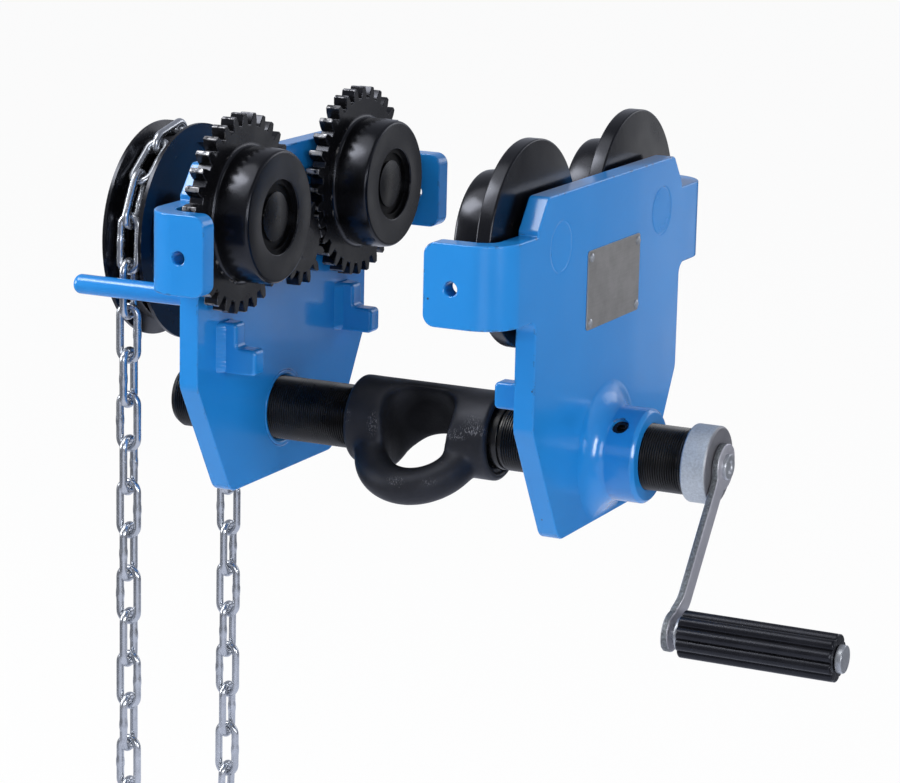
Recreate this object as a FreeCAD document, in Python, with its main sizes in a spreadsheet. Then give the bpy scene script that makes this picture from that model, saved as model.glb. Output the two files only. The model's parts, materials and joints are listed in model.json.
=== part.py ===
import FreeCAD, Part
import math
import os
import re

import Sketcher

# Geared beam trolley, adjustable to the width of the beam's flange.
# X runs across the beam, towards the crank; Y runs along the beam; Z is up.
# The origin is on the running surface of the flange, midway between the side plates and the wheels.

# Driving dimensions, in millimetres and degrees
SIZES = {
    # running gear
    "half_gap": 101.4,
    "pinion_drop": 28.27,
    "tread_diameter": 80.0,
    "tread_width": 23.0,
    "flange_diameter": 118.0,
    "flange_thickness": 9.0,
    "wheel_gap": 4.4,
    "wheel_edge": 1.5,
    "bearing_shoulder": 4.0,
    "recess_depth": 2.5,
    "recess_edge": 1.0,
    "bearing_outside": 44.0,
    "bearing_bore": 22.0,
    "bearing_width": 14.0,
    "circlip_bite": 1.3,
    "circlip_lip": 2.8,
    "circlip_thickness": 1.75,
    "circlip_opening": 24.0,
    "axle_spigot": 29.0,
    "axle_shoulder": 4.0,
    "axle_head_lip": 3.5,
    "axle_head_rim": 1.2,
    "axle_head_dome": 1.3,
    "axle_head_flat": 4.0,
    "fit_clearance": 0.05,
    "running_gap": 0.3,
    "cut_overrun": 0.5,
    # gear teeth
    "gear_module": 3.5,
    "gear_teeth": 32,
    "pinion_teeth": 13,
    "pressure_angle": 20.0,
    "gear_tip_cut": 1.0,
    "foot_gap_share": 0.25,
    "tooth_play": 0.3,
    # side plates with their bent ears
    "plate_thickness": 12.5,
    "plate_top": 70.4,
    "plate_half_width": 105.5,
    "plate_top_cut": 13.5,
    "plate_shoulder": 53.0,
    "plate_kink": -61.0,
    "plate_bottom": -132.0,
    "plate_bottom_half_width": 65.0,
    "plate_bottom_corner": 11.0,
    "plate_top_corner": 4.0,
    "plate_kink_corner": 12.0,
    "ear_top": 50.0,
    "ear_bottom": 3.0,
    "ear_overhang": 44.5,
    "ear_length": 35.8,
    "drive_ear_length": 29.2,
    "ear_bend": 22.0,
    "ear_corner": 7.0,
    "ear_root_corner": 7.0,
    "buffer_hole": 8.0,
    "buffer_hole_inset": 16.5,
    "buffer_hole_height": 25.0,
    # load spindle
    "spindle_height": -92.3,
    "screw_diameter": 39.0,
    "screw_edge": 2.0,
    "thread_play": 0.1,
    "left_screw_end": 171.5,
    "right_screw_end": 169.0,
    "boss_wall": 8.5,
    "boss_length": 28.6,
    "boss_spigot_wall": 4.0,
    "boss_edge": 2.0,
    "boss_weld": 9.0,
    "boss_weld_rise": 6.5,
    "set_screw_diameter": 10.0,
    "set_screw_length": 5.5,
    "set_screw_inset": 12.5,
    "set_screw_lean": 42.0,
    "set_screw_key": 5.0,
    "set_screw_key_depth": 3.0,
    # suspension eye
    "eye_angle": 54.0,
    "eye_length": 95.0,
    "eye_wall": 7.5,
    "eye_edge": 2.0,
    "eye_counterbore_gap": 3.0,
    "eye_counterbore_depth": 4.0,
    "journal_step": 1.5,
    "eye_bore_end": 26.0,
    "bow_bar": 22.9,
    "bow_width": 82.5,
    "bow_depth": 59.3,
    "window_width": 45.0,
    "window_top": 9.0,
    "window_taper_start": 12.0,
    "window_corner": 14.0,
    # crank
    "crank_angle": 40.5,
    "collar_diameter": 46.0,
    "collar_length": 16.0,
    "collar_edge": 1.0,
    "stub_diameter": 14.0,
    "stub_head": 1.5,
    "arm_length": 107.0,
    "arm_width": 15.5,
    "arm_thickness": 5.5,
    "arm_head": 27.0,
    "arm_eye": 24.0,
    "arm_lean": 3.0,
    "arm_joggle": 2.0,
    "arm_joggle_start": 22.0,
    "arm_joggle_run": 12.0,
    "grip_diameter": 28.0,
    "grip_length": 91.5,
    "grip_groove": 4.4,
    "grip_groove_rise": 0.6,
    "grip_grooves": 10,
    "grip_edge": 1.5,
    "grip_pin": 10.0,
    "grip_pin_head": 16.0,
    "grip_pin_head_length": 4.0,
    "grip_pin_flange": 20.0,
    "grip_pin_flange_length": 2.2,
    # lugs under the flange of the beam
    "lug_thickness": 12.0,
    "lug_place": 74.0,
    "lug_gap": 6.0,
    "lug_stem_height": 15.0,
    "lug_foot_height": 15.6,
    "lug_stem": 11.0,
    "lug_foot": 24.0,
    "lug_corner": 3.0,
    # name plate, left bare
    "name_plate_length": 76.0,
    "name_plate_height": 46.0,
    "name_plate_thickness": 0.8,
    "name_plate_middle": 1.5,
    "name_plate_raise": 8.6,
    "name_plate_corner": 2.0,
    "rivet_inset": 4.0,
    "rivet_diameter": 3.2,
    "rivet_head": 5.0,
    "rivet_head_height": 1.4,
    # pinion shaft and chain wheel
    "shaft_diameter": 20.0,
    "shaft_edge": 1.5,
    "shaft_tail": 4.0,
    "bush_wall": 3.0,
    "bush_length": 20.0,
    "washer_rim": 4.0,
    "housing_wall": 9.0,
    "housing_length": 42.3,
    "housing_weld": 5.0,
    "chain_wheel_offset": 61.4,
    "chain_rim_rise": 6.5,
    "disc_thickness": 2.2,
    "inner_disc_flare": 0.3,
    "outer_disc_flare": 4.4,
    "hub_wall": 8.0,
    "hub_flange_gap": 3.5,
    "hub_tail": 9.0,
    "key_width": 6.0,
    "key_height": 6.0,
    "key_length": 22.0,
    "shaft_circlip_rise": 3.5,
    "shaft_circlip_bite": 0.7,
    "shaft_circlip_thickness": 1.2,
    # hand chain and its guides
    "chain_pitch": 27.4,
    "chain_wire": 4.8,
    "chain_width": 17.0,
    "chain_link_gap": 0.9,
    "chain_side_gap": 0.5,
    "chain_wheel_links": 14,
    "chain_strand_links": 15,
    "guide_diameter": 12.0,
    "guide_gap": 2.0,
    "guide_height": -12.4,
    "guide_reach": 88.0,
    "guide_edge": 4.0,
}

# Shares of the flank's height at which the chords of a tooth's flank meet
FLANK_SHARES = (0.0, 0.45, 1.0)
# Sides of a chain wire's section, and straight runs in the round end of a link
WIRE_SIDES = 6
BEND_RUNS = 4

V = FreeCAD.Vector
doc = FreeCAD.newDocument("geared_beam_trolley")
sheet = doc.addObject("Spreadsheet::Sheet", "sizes")
for row, (size_name, size) in enumerate(SIZES.items(), start=1):
    sheet.set(f"A{row}", size_name)
    sheet.set(f"B{row}", str(size))
    sheet.setAlias(f"B{row}", size_name)
doc.recompute()

# Places worked out from the driving dimensions, as expressions.
# On a side plate x is 0 at its inner face and grows towards the beam.
AXLE_HEIGHT = "(tread_diameter / 2)"
FLANGE_END = "(wheel_gap + flange_thickness)"
WHEEL_END = "(wheel_gap + flange_thickness + tread_width)"
CIRCLIP_START = f"({WHEEL_END} - recess_depth - circlip_thickness)"
BEARING_START = f"({CIRCLIP_START} - bearing_width)"
GEAR_CENTRES = "(gear_module * (gear_teeth + pinion_teeth) / 2)"
AXLE_PLACE = f"(sqrt({GEAR_CENTRES} ^ 2 - pinion_drop ^ 2))"
PINION_HEIGHT = f"({AXLE_HEIGHT} - pinion_drop)"
GEAR_TIP = "(gear_module * (gear_teeth + 2) - gear_tip_cut)"
PINION_TIP = "(gear_module * (pinion_teeth + 2))"
RIM_BORE = "(tread_diameter / 2 + fit_clearance)"
BEARING_SPLIT = "((bearing_outside + bearing_bore) / 2)"
BEARING_SEAT = "(bearing_outside / 2 + fit_clearance)"
CIRCLIP_OUTSIDE = "(bearing_outside + 2 * circlip_bite)"
AXLE_HEAD = "(bearing_bore + 2 * axle_head_lip)"
EAR_REACH = "(plate_half_width + ear_overhang)"
PLATE_TOP_HALF_WIDTH = "(plate_half_width - plate_top_cut)"
LUG_TOP = f"({AXLE_HEIGHT} - max(flange_diameter; {GEAR_TIP}) / 2 - lug_gap)"
LUG_FOOT_TOP = f"({LUG_TOP} - lug_stem_height)"
BUSH_OUTSIDE = "(shaft_diameter + 2 * bush_wall)"
HOUSING_RADIUS = f"({BUSH_OUTSIDE} / 2 + housing_wall)"
LINK_RADIUS = "(chain_pitch / (2 * tan(180 / chain_wheel_links)))"
STRAND_PLACE = "(chain_pitch / (2 * sin(180 / chain_wheel_links)))"
DISC_GAP = "(chain_wire + 2 * chain_side_gap)"
DISC_SEAT = f"({LINK_RADIUS} - chain_wire / 2 - chain_side_gap)"
DISC_SEAT_END = "(chain_width / 2 + chain_side_gap)"
CHAIN_WHEEL_RADIUS = f"({LINK_RADIUS} + chain_rim_rise)"
CHAIN_HUB_RADIUS = "(shaft_diameter / 2 + hub_wall)"
CHAIN_PLANE = "(-plate_thickness - chain_wheel_offset)"
HOUSING_END = "(-plate_thickness - housing_length)"
HUB_START = f"({HOUSING_END} - running_gap)"
HUB_END = f"({CHAIN_PLANE} - {DISC_GAP} / 2 - disc_thickness - hub_tail)"
SHAFT_GROOVE = "(shaft_diameter / 2 - shaft_circlip_bite)"
SHAFT_END = f"({HUB_END} - shaft_circlip_thickness - shaft_tail)"
BOSS_RADIUS = "(screw_diameter / 2 + boss_wall)"
SPIGOT_RADIUS = "(screw_diameter / 2 + boss_spigot_wall)"
BOSS_END = "(-plate_thickness - boss_length)"
DOME_RADIUS = f"(({AXLE_HEAD} ^ 2 / 4 + axle_head_dome ^ 2) / (2 * axle_head_dome))"
EYE_RADIUS = "(screw_diameter / 2 + eye_wall)"
EYE_BORE = "(screw_diameter / 2 - journal_step)"
BOW_RADIUS = "((bow_width - bow_bar) / 2)"
BOW_CENTRE = f"(bow_depth - bow_bar / 2 - {BOW_RADIUS})"
COLLAR_END = "(right_screw_end + collar_length)"
ARM_RUN = f"({COLLAR_END} + arm_lean)"
ARM_BACK = f"({ARM_RUN} - arm_joggle)"
ARM_FRONT = f"({COLLAR_END} + arm_thickness)"
GRIP_START = f"({ARM_BACK} + arm_thickness + grip_pin_flange_length + running_gap)"
GRIP_END = f"({GRIP_START} + grip_length)"

parts = []


def bound(expression):
    """The expression with every size's name pointed at the sheet."""
    def point(word):
        return f"sizes.{word[0]}" if word[0] in SIZES else word[0]
    return re.sub(r"[A-Za-z_]\w*", point, expression)


def value(expression):
    """What an expression of sizes comes to."""
    return float(sheet.evalExpression(expression))


def bind(thing, prop, expression):
    """Ties one property of an object to an expression of sizes."""
    thing.setExpression(prop, bound(expression))


def named(thing, label):
    """Counts an object as a finished piece under its label."""
    thing.Label = label
    parts.append(thing)
    return thing


def place(thing, x="0", y="0", z="0", turn=None):
    """Puts an object at a bound position, after an optional fixed turn."""
    if turn:
        thing.Placement = FreeCAD.Placement(V(0, 0, 0), turn)
    for axis, expression in zip("xyz", (x, y, z)):
        bind(thing, f"Placement.Base.{axis}", expression)
    return thing


def on_side(thing, side, y="0", z="0"):
    """Puts a piece on a side plate; the plain side is the geared side turned about Z."""
    if side == "geared":
        return place(thing, "-half_gap", y, z)
    return place(thing, "half_gap", y, z, FreeCAD.Rotation(V(0, 0, 1), 180))


def on_spindle(thing, angle):
    """Puts a piece on the spindle's axis, turned forwards by the angle at which it stands."""
    thing.Placement = FreeCAD.Placement(V(0, 0, 0), FreeCAD.Rotation(V(-1, 0, 0), value(angle)))
    bind(thing, "Placement.Base.z", "spindle_height")
    bind(thing, "Placement.Rotation.Angle", angle)
    return thing


def arc_between(start, end, radius, side):
    """The shorter arc of a radius between two points; its centre lies left of the chord for side 1.

    It runs counter-clockwise, so from end to start where its centre lies on the right.
    """
    chord = end - start
    normal = V(-chord.y, chord.x, 0).normalize() * side
    centre = (start + end) * 0.5 + normal * math.sqrt(max(radius ** 2 - (chord.Length / 2) ** 2, 0))
    ends = (start, end) if side > 0 else (end, start)
    angles = [math.atan2(point.y - centre.y, point.x - centre.x) for point in ends]
    return Part.ArcOfCircle(Part.Circle(centre, V(0, 0, 1), radius), *angles)


def sketch_on(body, plane, loops, lift="0"):
    """A sketch of closed loops on one of a body's own planes, each point bound to its sizes.

    A loop is a list of (x, y) points, or (x, y, radius, side) where an arc runs to the next point;
    a circle is a tuple (x, y, diameter).
    """
    sketch = body.newObject("Sketcher::SketchObject", f"{body.Name}_outline")
    support = [item for item in body.Origin.OriginFeatures if item.Role == plane][0]
    sketch.AttachmentSupport = (support, [""])
    sketch.MapMode = "FlatFace"
    bind(sketch, "AttachmentOffset.Base.z", lift)
    for loop in loops:
        if isinstance(loop, tuple):
            add_circle(sketch, *loop)
        else:
            add_loop(sketch, loop)
    return sketch


def fix_point(sketch, edge, end, x, y):
    """Holds a point of a sketch at bound distances from the origin."""
    for kind, expression in (("DistanceX", x), ("DistanceY", y)):
        rule = sketch.addConstraint(Sketcher.Constraint(kind, -1, 1, edge, end, value(expression)))
        bind(sketch, f"Constraints[{rule}]", expression)


def add_circle(sketch, x, y, diameter):
    """Adds a bound circle to a sketch."""
    middle = V(value(x), value(y), 0)
    edge = sketch.addGeometry(Part.Circle(middle, V(0, 0, 1), value(diameter) / 2), False)
    fix_point(sketch, edge, 3, x, y)
    rule = sketch.addConstraint(Sketcher.Constraint("Diameter", edge, value(diameter)))
    bind(sketch, f"Constraints[{rule}]", diameter)


def add_loop(sketch, points):
    """Adds a bound closed outline of lines and arcs to a sketch."""
    corners = [V(value(point[0]), value(point[1]), 0) for point in points]
    edges = []
    for index, point in enumerate(points):
        start = corners[index]
        end = corners[(index + 1) % len(points)]
        if len(point) == 2:
            edges.append((sketch.addGeometry(Part.LineSegment(start, end), False), 1, 2))
            continue
        edge = sketch.addGeometry(arc_between(start, end, value(point[2]), point[3]), False)
        edges.append((edge, 1, 2) if point[3] > 0 else (edge, 2, 1))
    for index, (edge, first, last) in enumerate(edges):
        following = edges[(index + 1) % len(edges)]
        sketch.addConstraint(Sketcher.Constraint("Coincident", edge, last, following[0], following[1]))
    for (edge, first, last), point in zip(edges, points):
        fix_point(sketch, edge, first, point[0], point[1])
        if len(point) > 2:
            rule = sketch.addConstraint(Sketcher.Constraint("Radius", edge, value(point[2])))
            bind(sketch, f"Constraints[{rule}]", point[2])


def new_body(name):
    """An empty body."""
    return doc.addObject("PartDesign::Body", name)


def pad(body, sketch, length, backwards=False, both=False):
    """Grows a body from a sketch, to one side or evenly to both."""
    feature = body.newObject("PartDesign::Pad", f"{body.Name}_pad")
    feature.Profile = sketch
    bind(feature, "Length", length)
    feature.Reversed = backwards
    if both:
        feature.SideType = "Symmetric"
    doc.recompute()
    return feature


def pocket(body, sketch, both=False, backwards=False):
    """Cuts a sketch right through a body, to one side of the sketch or to both."""
    feature = body.newObject("PartDesign::Pocket", f"{body.Name}_pocket")
    feature.Profile = sketch
    feature.Type = "ThroughAll"
    feature.Reversed = backwards
    if both:
        feature.SideType = "Symmetric"
    doc.recompute()
    return feature


def soften(body, kind, size, wanted):
    """Rounds or bevels the straight edges of a body that the test picks by middle and direction."""
    base = body.Tip
    names = []
    for index, edge in enumerate(base.Shape.Edges, start=1):
        if isinstance(edge.Curve, Part.Line):
            middle = edge.CenterOfMass
            if wanted(middle, edge.tangentAt(edge.FirstParameter)):
                names.append(f"Edge{index}")
    feature = body.newObject(f"PartDesign::{kind}", f"{body.Name}_{kind.lower()}")
    feature.Base = (base, names)
    bind(feature, "Radius" if kind == "Fillet" else "Size", size)
    doc.recompute()
    return feature


def along(direction, axis):
    """Whether a direction runs along one of the axes x, y or z."""
    return abs(getattr(direction, axis)) > 0.99


def near(first, second):
    """Whether two lengths agree within the overrun of a cut."""
    return abs(first - second) < value("cut_overrun")


def turned(name, points, angle="360", lift="0"):
    """A body turned about X from (x, radius) points; lift moves its axis up or down."""
    body = new_body(name)
    sketch = sketch_on(body, "XY_Plane", [points], lift)
    feature = body.newObject("PartDesign::Revolution", f"{name}_turned")
    feature.Profile = sketch
    feature.ReferenceAxis = (sketch, ["H_Axis"])
    bind(feature, "Angle", angle)
    doc.recompute()
    return body


def ring(name, start, end, inside, outside, angle="360"):
    """A plain turned ring between two x stations."""
    return turned(name, [
        (start, f"{inside} / 2"),
        (start, f"{outside} / 2"),
        (end, f"{outside} / 2"),
        (end, f"{inside} / 2"),
    ], angle)


def joined(kind, name, pieces):
    """A boolean of two pieces."""
    feature = doc.addObject(f"Part::{kind}", name)
    feature.Base, feature.Tool = pieces
    doc.recompute()
    return feature


def group(label, pieces):
    """Separate solids that share one node."""
    feature = doc.addObject("Part::Compound", label)
    feature.Links = pieces
    doc.recompute()
    return named(feature, label)


def mirrored_loop(points):
    """Closes a half outline, given from top to bottom on the positive side, by its mirror image."""
    other = [(f"-({point[0]})", point[1]) for point in reversed(points)]
    return points + other


# Side plates, bosses, lugs and axles
def ear_loop(sign, length):
    """Top view of one bent ear, from inside the plate round the bend to the ear's free end."""
    root = f"{sign} * (plate_half_width - plate_thickness)"
    bend_start = f"{sign} * ({EAR_REACH} - ear_bend)"
    outer = f"{sign} * {EAR_REACH}"
    inner = f"{sign} * ({EAR_REACH} - plate_thickness)"
    bend_end = "ear_bend - plate_thickness"
    return [
        ("-plate_thickness", root),
        ("-plate_thickness", bend_start, "ear_bend", -sign),
        (bend_end, outer),
        (length, outer),
        (length, inner),
        (bend_end, inner, "ear_bend - plate_thickness", sign),
        ("0", bend_start),
        ("0", root),
    ]


def side_plate(side):
    """A flame-cut plate with an ear bent inwards at each end and its holes.

    The ear beside the hand chain's front strand is shorter than the others.
    """
    body = new_body(f"{side}_side_plate")
    lengths = {-1: "drive_ear_length" if side == "geared" else "ear_length", 1: "ear_length"}
    face = mirrored_loop([
        (PLATE_TOP_HALF_WIDTH, "plate_top"),
        ("plate_half_width", "plate_shoulder"),
        ("plate_half_width", "plate_kink"),
        ("plate_bottom_half_width", "plate_bottom"),
    ])
    pad(body, sketch_on(body, "YZ_Plane", [face]), "plate_thickness", backwards=True)
    ears = [ear_loop(sign, length) for sign, length in lengths.items()]
    pad(body, sketch_on(body, "XY_Plane", ears, "ear_bottom"), "ear_top - ear_bottom")
    ear_ends = [value(length) for length in lengths.values()]

    def at_corner(across, level):
        y = value(across)
        z = value(level)
        return lambda middle, way: along(way, "x") and near(abs(middle.y), y) and near(middle.z, z)

    def at_ear_end(middle, way):
        return along(way, "y") and any(near(middle.x, ear_end) for ear_end in ear_ends)

    soften(body, "Fillet", "ear_corner", at_ear_end)
    soften(body, "Fillet", "ear_root_corner", at_corner("plate_half_width", "ear_bottom"))
    soften(body, "Fillet", "plate_bottom_corner", at_corner("plate_bottom_half_width", "plate_bottom"))
    soften(body, "Fillet", "plate_kink_corner", at_corner("plate_half_width", "plate_kink"))
    soften(body, "Fillet", "plate_top_corner", at_corner(PLATE_TOP_HALF_WIDTH, "plate_top"))
    holes = [
        (f"-{AXLE_PLACE}", AXLE_HEIGHT, "axle_spigot + 2 * fit_clearance"),
        (AXLE_PLACE, AXLE_HEIGHT, "axle_spigot + 2 * fit_clearance"),
        ("0", "spindle_height", f"2 * ({SPIGOT_RADIUS} + fit_clearance)"),
    ]
    if side == "geared":
        holes.append(("0", PINION_HEIGHT, f"{BUSH_OUTSIDE} + 2 * fit_clearance"))
    pocket(body, sketch_on(body, "YZ_Plane", holes))
    for sign, length in lengths.items():
        spot = (f"{length} - buffer_hole_inset", "buffer_hole_height", "buffer_hole")
        pocket(body, sketch_on(body, "XZ_Plane", [spot]), backwards=sign < 0)
    return named(on_side(body, side), f"{side}_side_plate")


def spindle_boss(side):
    """The threaded nut welded into a plate, with its tapped cross hole and the grub screw in it."""
    blank = turned(f"{side}_boss_blank", [
        ("-boss_edge", "screw_diameter / 2 + thread_play"),
        ("0", "screw_diameter / 2 + thread_play + boss_edge"),
        ("0", SPIGOT_RADIUS),
        ("-plate_thickness", SPIGOT_RADIUS),
        ("-plate_thickness", f"{BOSS_RADIUS} + boss_weld"),
        ("-plate_thickness - boss_weld_rise", BOSS_RADIUS),
        (f"{BOSS_END} + boss_edge", BOSS_RADIUS),
        (BOSS_END, f"{BOSS_RADIUS} - boss_edge"),
        (BOSS_END, "screw_diameter / 2 + thread_play"),
    ])
    on_side(blank, side, "0", "spindle_height")
    sign = "-1" if side == "geared" else "1"
    across = f"{sign} * (half_gap + plate_thickness + boss_length - set_screw_inset)"
    seat = "screw_diameter / 2 + running_gap"
    tapping = "set_screw_diameter / 2 + fit_clearance"
    hole = radial_rod(f"{side}_boss_hole", across, "0", tapping, f"2 * {BOSS_RADIUS}")
    named(joined("Cut", f"{side}_boss_drilled", (blank, hole)), f"{side}_side_boss")
    screw = radial_rod(f"{side}_screw_blank", across, seat, "set_screw_diameter / 2", "set_screw_length")
    socket = doc.addObject("Part::Prism", f"{side}_screw_socket")
    socket.Polygon = 6
    bind(socket, "Circumradius", "set_screw_key / sqrt(3)")
    bind(socket, "Height", "set_screw_key_depth + cut_overrun")
    lean(socket, across, f"{seat} + set_screw_length - set_screw_key_depth")
    named(joined("Cut", f"{side}_screw_cut", (screw, socket)), f"{side}_side_set_screw")


def lean(thing, across, out):
    """Points an upright piece out of the spindle's axis at the set screws' lean."""
    thing.Placement = FreeCAD.Placement(V(0, 0, 0), FreeCAD.Rotation(V(1, 0, 0), value("set_screw_lean")))
    bind(thing, "Placement.Rotation.Angle", "set_screw_lean")
    bind(thing, "Placement.Base.x", across)
    bind(thing, "Placement.Base.y", f"-({out}) * sin(set_screw_lean)")
    bind(thing, "Placement.Base.z", f"spindle_height + ({out}) * cos(set_screw_lean)")


def radial_rod(name, across, out, radius, length):
    """A rod that leans out of the spindle's axis."""
    rod = doc.addObject("Part::Cylinder", name)
    bind(rod, "Radius", radius)
    bind(rod, "Height", length)
    lean(rod, across, out)
    return rod


def lugs(side):
    """The two L-shaped lugs that reach under the beam's flange and stop the plate from tilting."""
    pair = []
    for end, sign in (("front", "-1"), ("back", "1")):
        body = new_body(f"{side}_{end}_lug")
        face = [
            ("0", f"{LUG_FOOT_TOP} - lug_foot_height"),
            ("lug_foot", f"{LUG_FOOT_TOP} - lug_foot_height"),
            ("lug_foot", LUG_FOOT_TOP),
            ("lug_stem", LUG_FOOT_TOP),
            ("lug_stem", LUG_TOP),
            ("0", LUG_TOP),
        ]
        pad(body, sketch_on(body, "XZ_Plane", [face]), "lug_thickness", both=True)
        inside = value("lug_stem") - value("cut_overrun")
        soften(body, "Fillet", "lug_corner", lambda middle, way: along(way, "y") and middle.x > inside)
        pair.append(on_side(body, side, f"{sign} * lug_place"))
    group(f"{side}_side_lugs", pair)


def axle(side, end, y):
    """A wheel axle riveted flush into the plate, with a bearing shoulder and a domed head."""
    body = turned(f"{side}_{end}_axle", [
        ("-plate_thickness", "0"),
        ("-plate_thickness", "axle_spigot / 2"),
        ("0", "axle_spigot / 2"),
        ("0", "bearing_bore / 2 + axle_shoulder"),
        (BEARING_START, "bearing_bore / 2 + axle_shoulder"),
        (BEARING_START, "bearing_bore / 2"),
        (CIRCLIP_START, "bearing_bore / 2"),
        (CIRCLIP_START, f"{AXLE_HEAD} / 2"),
        (f"{CIRCLIP_START} + axle_head_rim", f"{AXLE_HEAD} / 2", DOME_RADIUS, -1),
        (f"{CIRCLIP_START} + axle_head_rim + axle_head_dome", "axle_head_flat / 2"),
        (f"{CIRCLIP_START} + axle_head_rim + axle_head_dome", "0"),
    ])
    named(on_side(body, side, y, AXLE_HEIGHT), f"{side}_{end}_axle")
    inner = ring(f"{side}_{end}_inner_ring", BEARING_START, CIRCLIP_START,
                 "(bearing_bore + 2 * fit_clearance)", BEARING_SPLIT)
    named(on_side(inner, side, y, AXLE_HEIGHT), f"{side}_{end}_bearing_inner_ring")


# Wheels, gears and the hand drive
def gear_corners(teeth, tip_radius, turn):
    """Corners of a spur gear's outline about X, with chords along its involute flanks.

    A tooth points along the angle turn, counted from Y towards Z.
    """
    pitch_radius = value("gear_module") * teeth / 2
    pressure = math.radians(value("pressure_angle"))
    base_radius = pitch_radius * math.cos(pressure)
    root_radius = pitch_radius - value("gear_module * (1 + foot_gap_share)")

    def involute(radius):
        roll = math.acos(min(1.0, base_radius / radius))
        return math.tan(roll) - roll

    half_tooth = math.pi / (2 * teeth) - value("tooth_play") / (2 * pitch_radius)
    flank = [(root_radius, half_tooth + involute(pitch_radius))]
    for share in FLANK_SHARES:
        radius = base_radius + share * (tip_radius - base_radius)
        flank.append((radius, half_tooth + involute(pitch_radius) - involute(radius)))
    corners = []
    for tooth in range(teeth):
        middle = turn + tooth * 2 * math.pi / teeth
        outline = [(radius, middle - half) for radius, half in flank]
        outline += [(radius, middle + half) for radius, half in reversed(flank)]
        corners += [V(0, radius * math.cos(angle), radius * math.sin(angle)) for radius, angle in outline]
    return corners


def toothed_disc(name, teeth, tip_radius, turn, bore):
    """A toothed disc of the flange's thickness, with a round bore if it has one, at the wheels' gap."""
    start = V(value("wheel_gap"), 0, 0)
    corners = [start + corner for corner in gear_corners(teeth, tip_radius, turn)]
    face = Part.Face(Part.makePolygon(corners + corners[:1]))
    if bore:
        face = face.cut(Part.Face(Part.Wire(Part.makeCircle(bore, start, V(1, 0, 0)))))
    feature = doc.addObject("Part::Feature", name)
    feature.Shape = face.extrude(V(value("flange_thickness"), 0, 0)).Solids[0]
    return feature


def wheel(side, end, y):
    """A running wheel: drum, plain or toothed rim, outer ring of its bearing, and circlip."""
    clip_end = f"({CIRCLIP_START} + circlip_thickness + fit_clearance)"
    groove = f"({CIRCLIP_OUTSIDE} / 2 + fit_clearance)"
    shoulder = "bearing_outside / 2 - bearing_shoulder"
    drum = turned(f"{side}_{end}_wheel", [
        ("wheel_gap", shoulder),
        ("wheel_gap", "tread_diameter / 2"),
        (f"{WHEEL_END} - wheel_edge", "tread_diameter / 2"),
        (WHEEL_END, "tread_diameter / 2 - wheel_edge"),
        (WHEEL_END, f"{BEARING_SEAT} + recess_edge"),
        (f"{WHEEL_END} - recess_edge", BEARING_SEAT),
        (clip_end, BEARING_SEAT),
        (clip_end, groove),
        (CIRCLIP_START, groove),
        (CIRCLIP_START, BEARING_SEAT),
        (BEARING_START, BEARING_SEAT),
        (BEARING_START, shoulder),
    ])
    named(on_side(drum, side, y, AXLE_HEIGHT), f"{side}_{end}_wheel")
    rim = toothed_rim(end) if side == "geared" else plain_rim(end)
    named(on_side(rim, side, y, AXLE_HEIGHT), f"{side}_{end}_wheel_rim")
    outer_ring = ring(f"{side}_{end}_outer_ring", BEARING_START, CIRCLIP_START,
                      f"({BEARING_SPLIT} + 2 * fit_clearance)", "bearing_outside")
    named(on_side(outer_ring, side, y, AXLE_HEIGHT), f"{side}_{end}_bearing_outer_ring")
    clip = ring(f"{side}_{end}_clip", CIRCLIP_START, f"({CIRCLIP_START} + circlip_thickness)",
                "(bearing_outside - 2 * circlip_lip)", CIRCLIP_OUTSIDE, "360 - circlip_opening")
    named(on_side(clip, side, y, AXLE_HEIGHT), f"{side}_{end}_wheel_circlip")


def plain_rim(end):
    """The flange of a plain wheel, a ring on the drum."""
    return turned(f"plain_{end}_wheel_rim", [
        ("wheel_gap", RIM_BORE),
        ("wheel_gap", "flange_diameter / 2 - wheel_edge"),
        ("wheel_gap + wheel_edge", "flange_diameter / 2"),
        (f"{FLANGE_END} - wheel_edge", "flange_diameter / 2"),
        (FLANGE_END, "flange_diameter / 2 - wheel_edge"),
        (FLANGE_END, RIM_BORE),
    ])


def toothed_rim(end):
    """The flange of a geared wheel, a spur gear on the drum."""
    teeth = round(value("gear_teeth"))
    tip = value(f"{GEAR_TIP} / 2")
    return toothed_disc(f"geared_{end}_wheel_rim", teeth, tip, gear_turn(end), value(RIM_BORE))


def gear_turn(end):
    """The angle of a gear's tooth that meshes it with the pinion, which has a tooth pointing up."""
    gear_teeth = round(value("gear_teeth"))
    pinion_teeth = round(value("pinion_teeth"))
    sign = -1 if end == "front" else 1
    to_gear = math.atan2(value("pinion_drop"), sign * value(AXLE_PLACE))
    pinion_step = 2 * math.pi / pinion_teeth
    gear_step = 2 * math.pi / gear_teeth
    lead = (math.pi / 2 - to_gear) % pinion_step
    return to_gear + math.pi + gear_step / 2 - lead * gear_step / pinion_step


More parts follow.
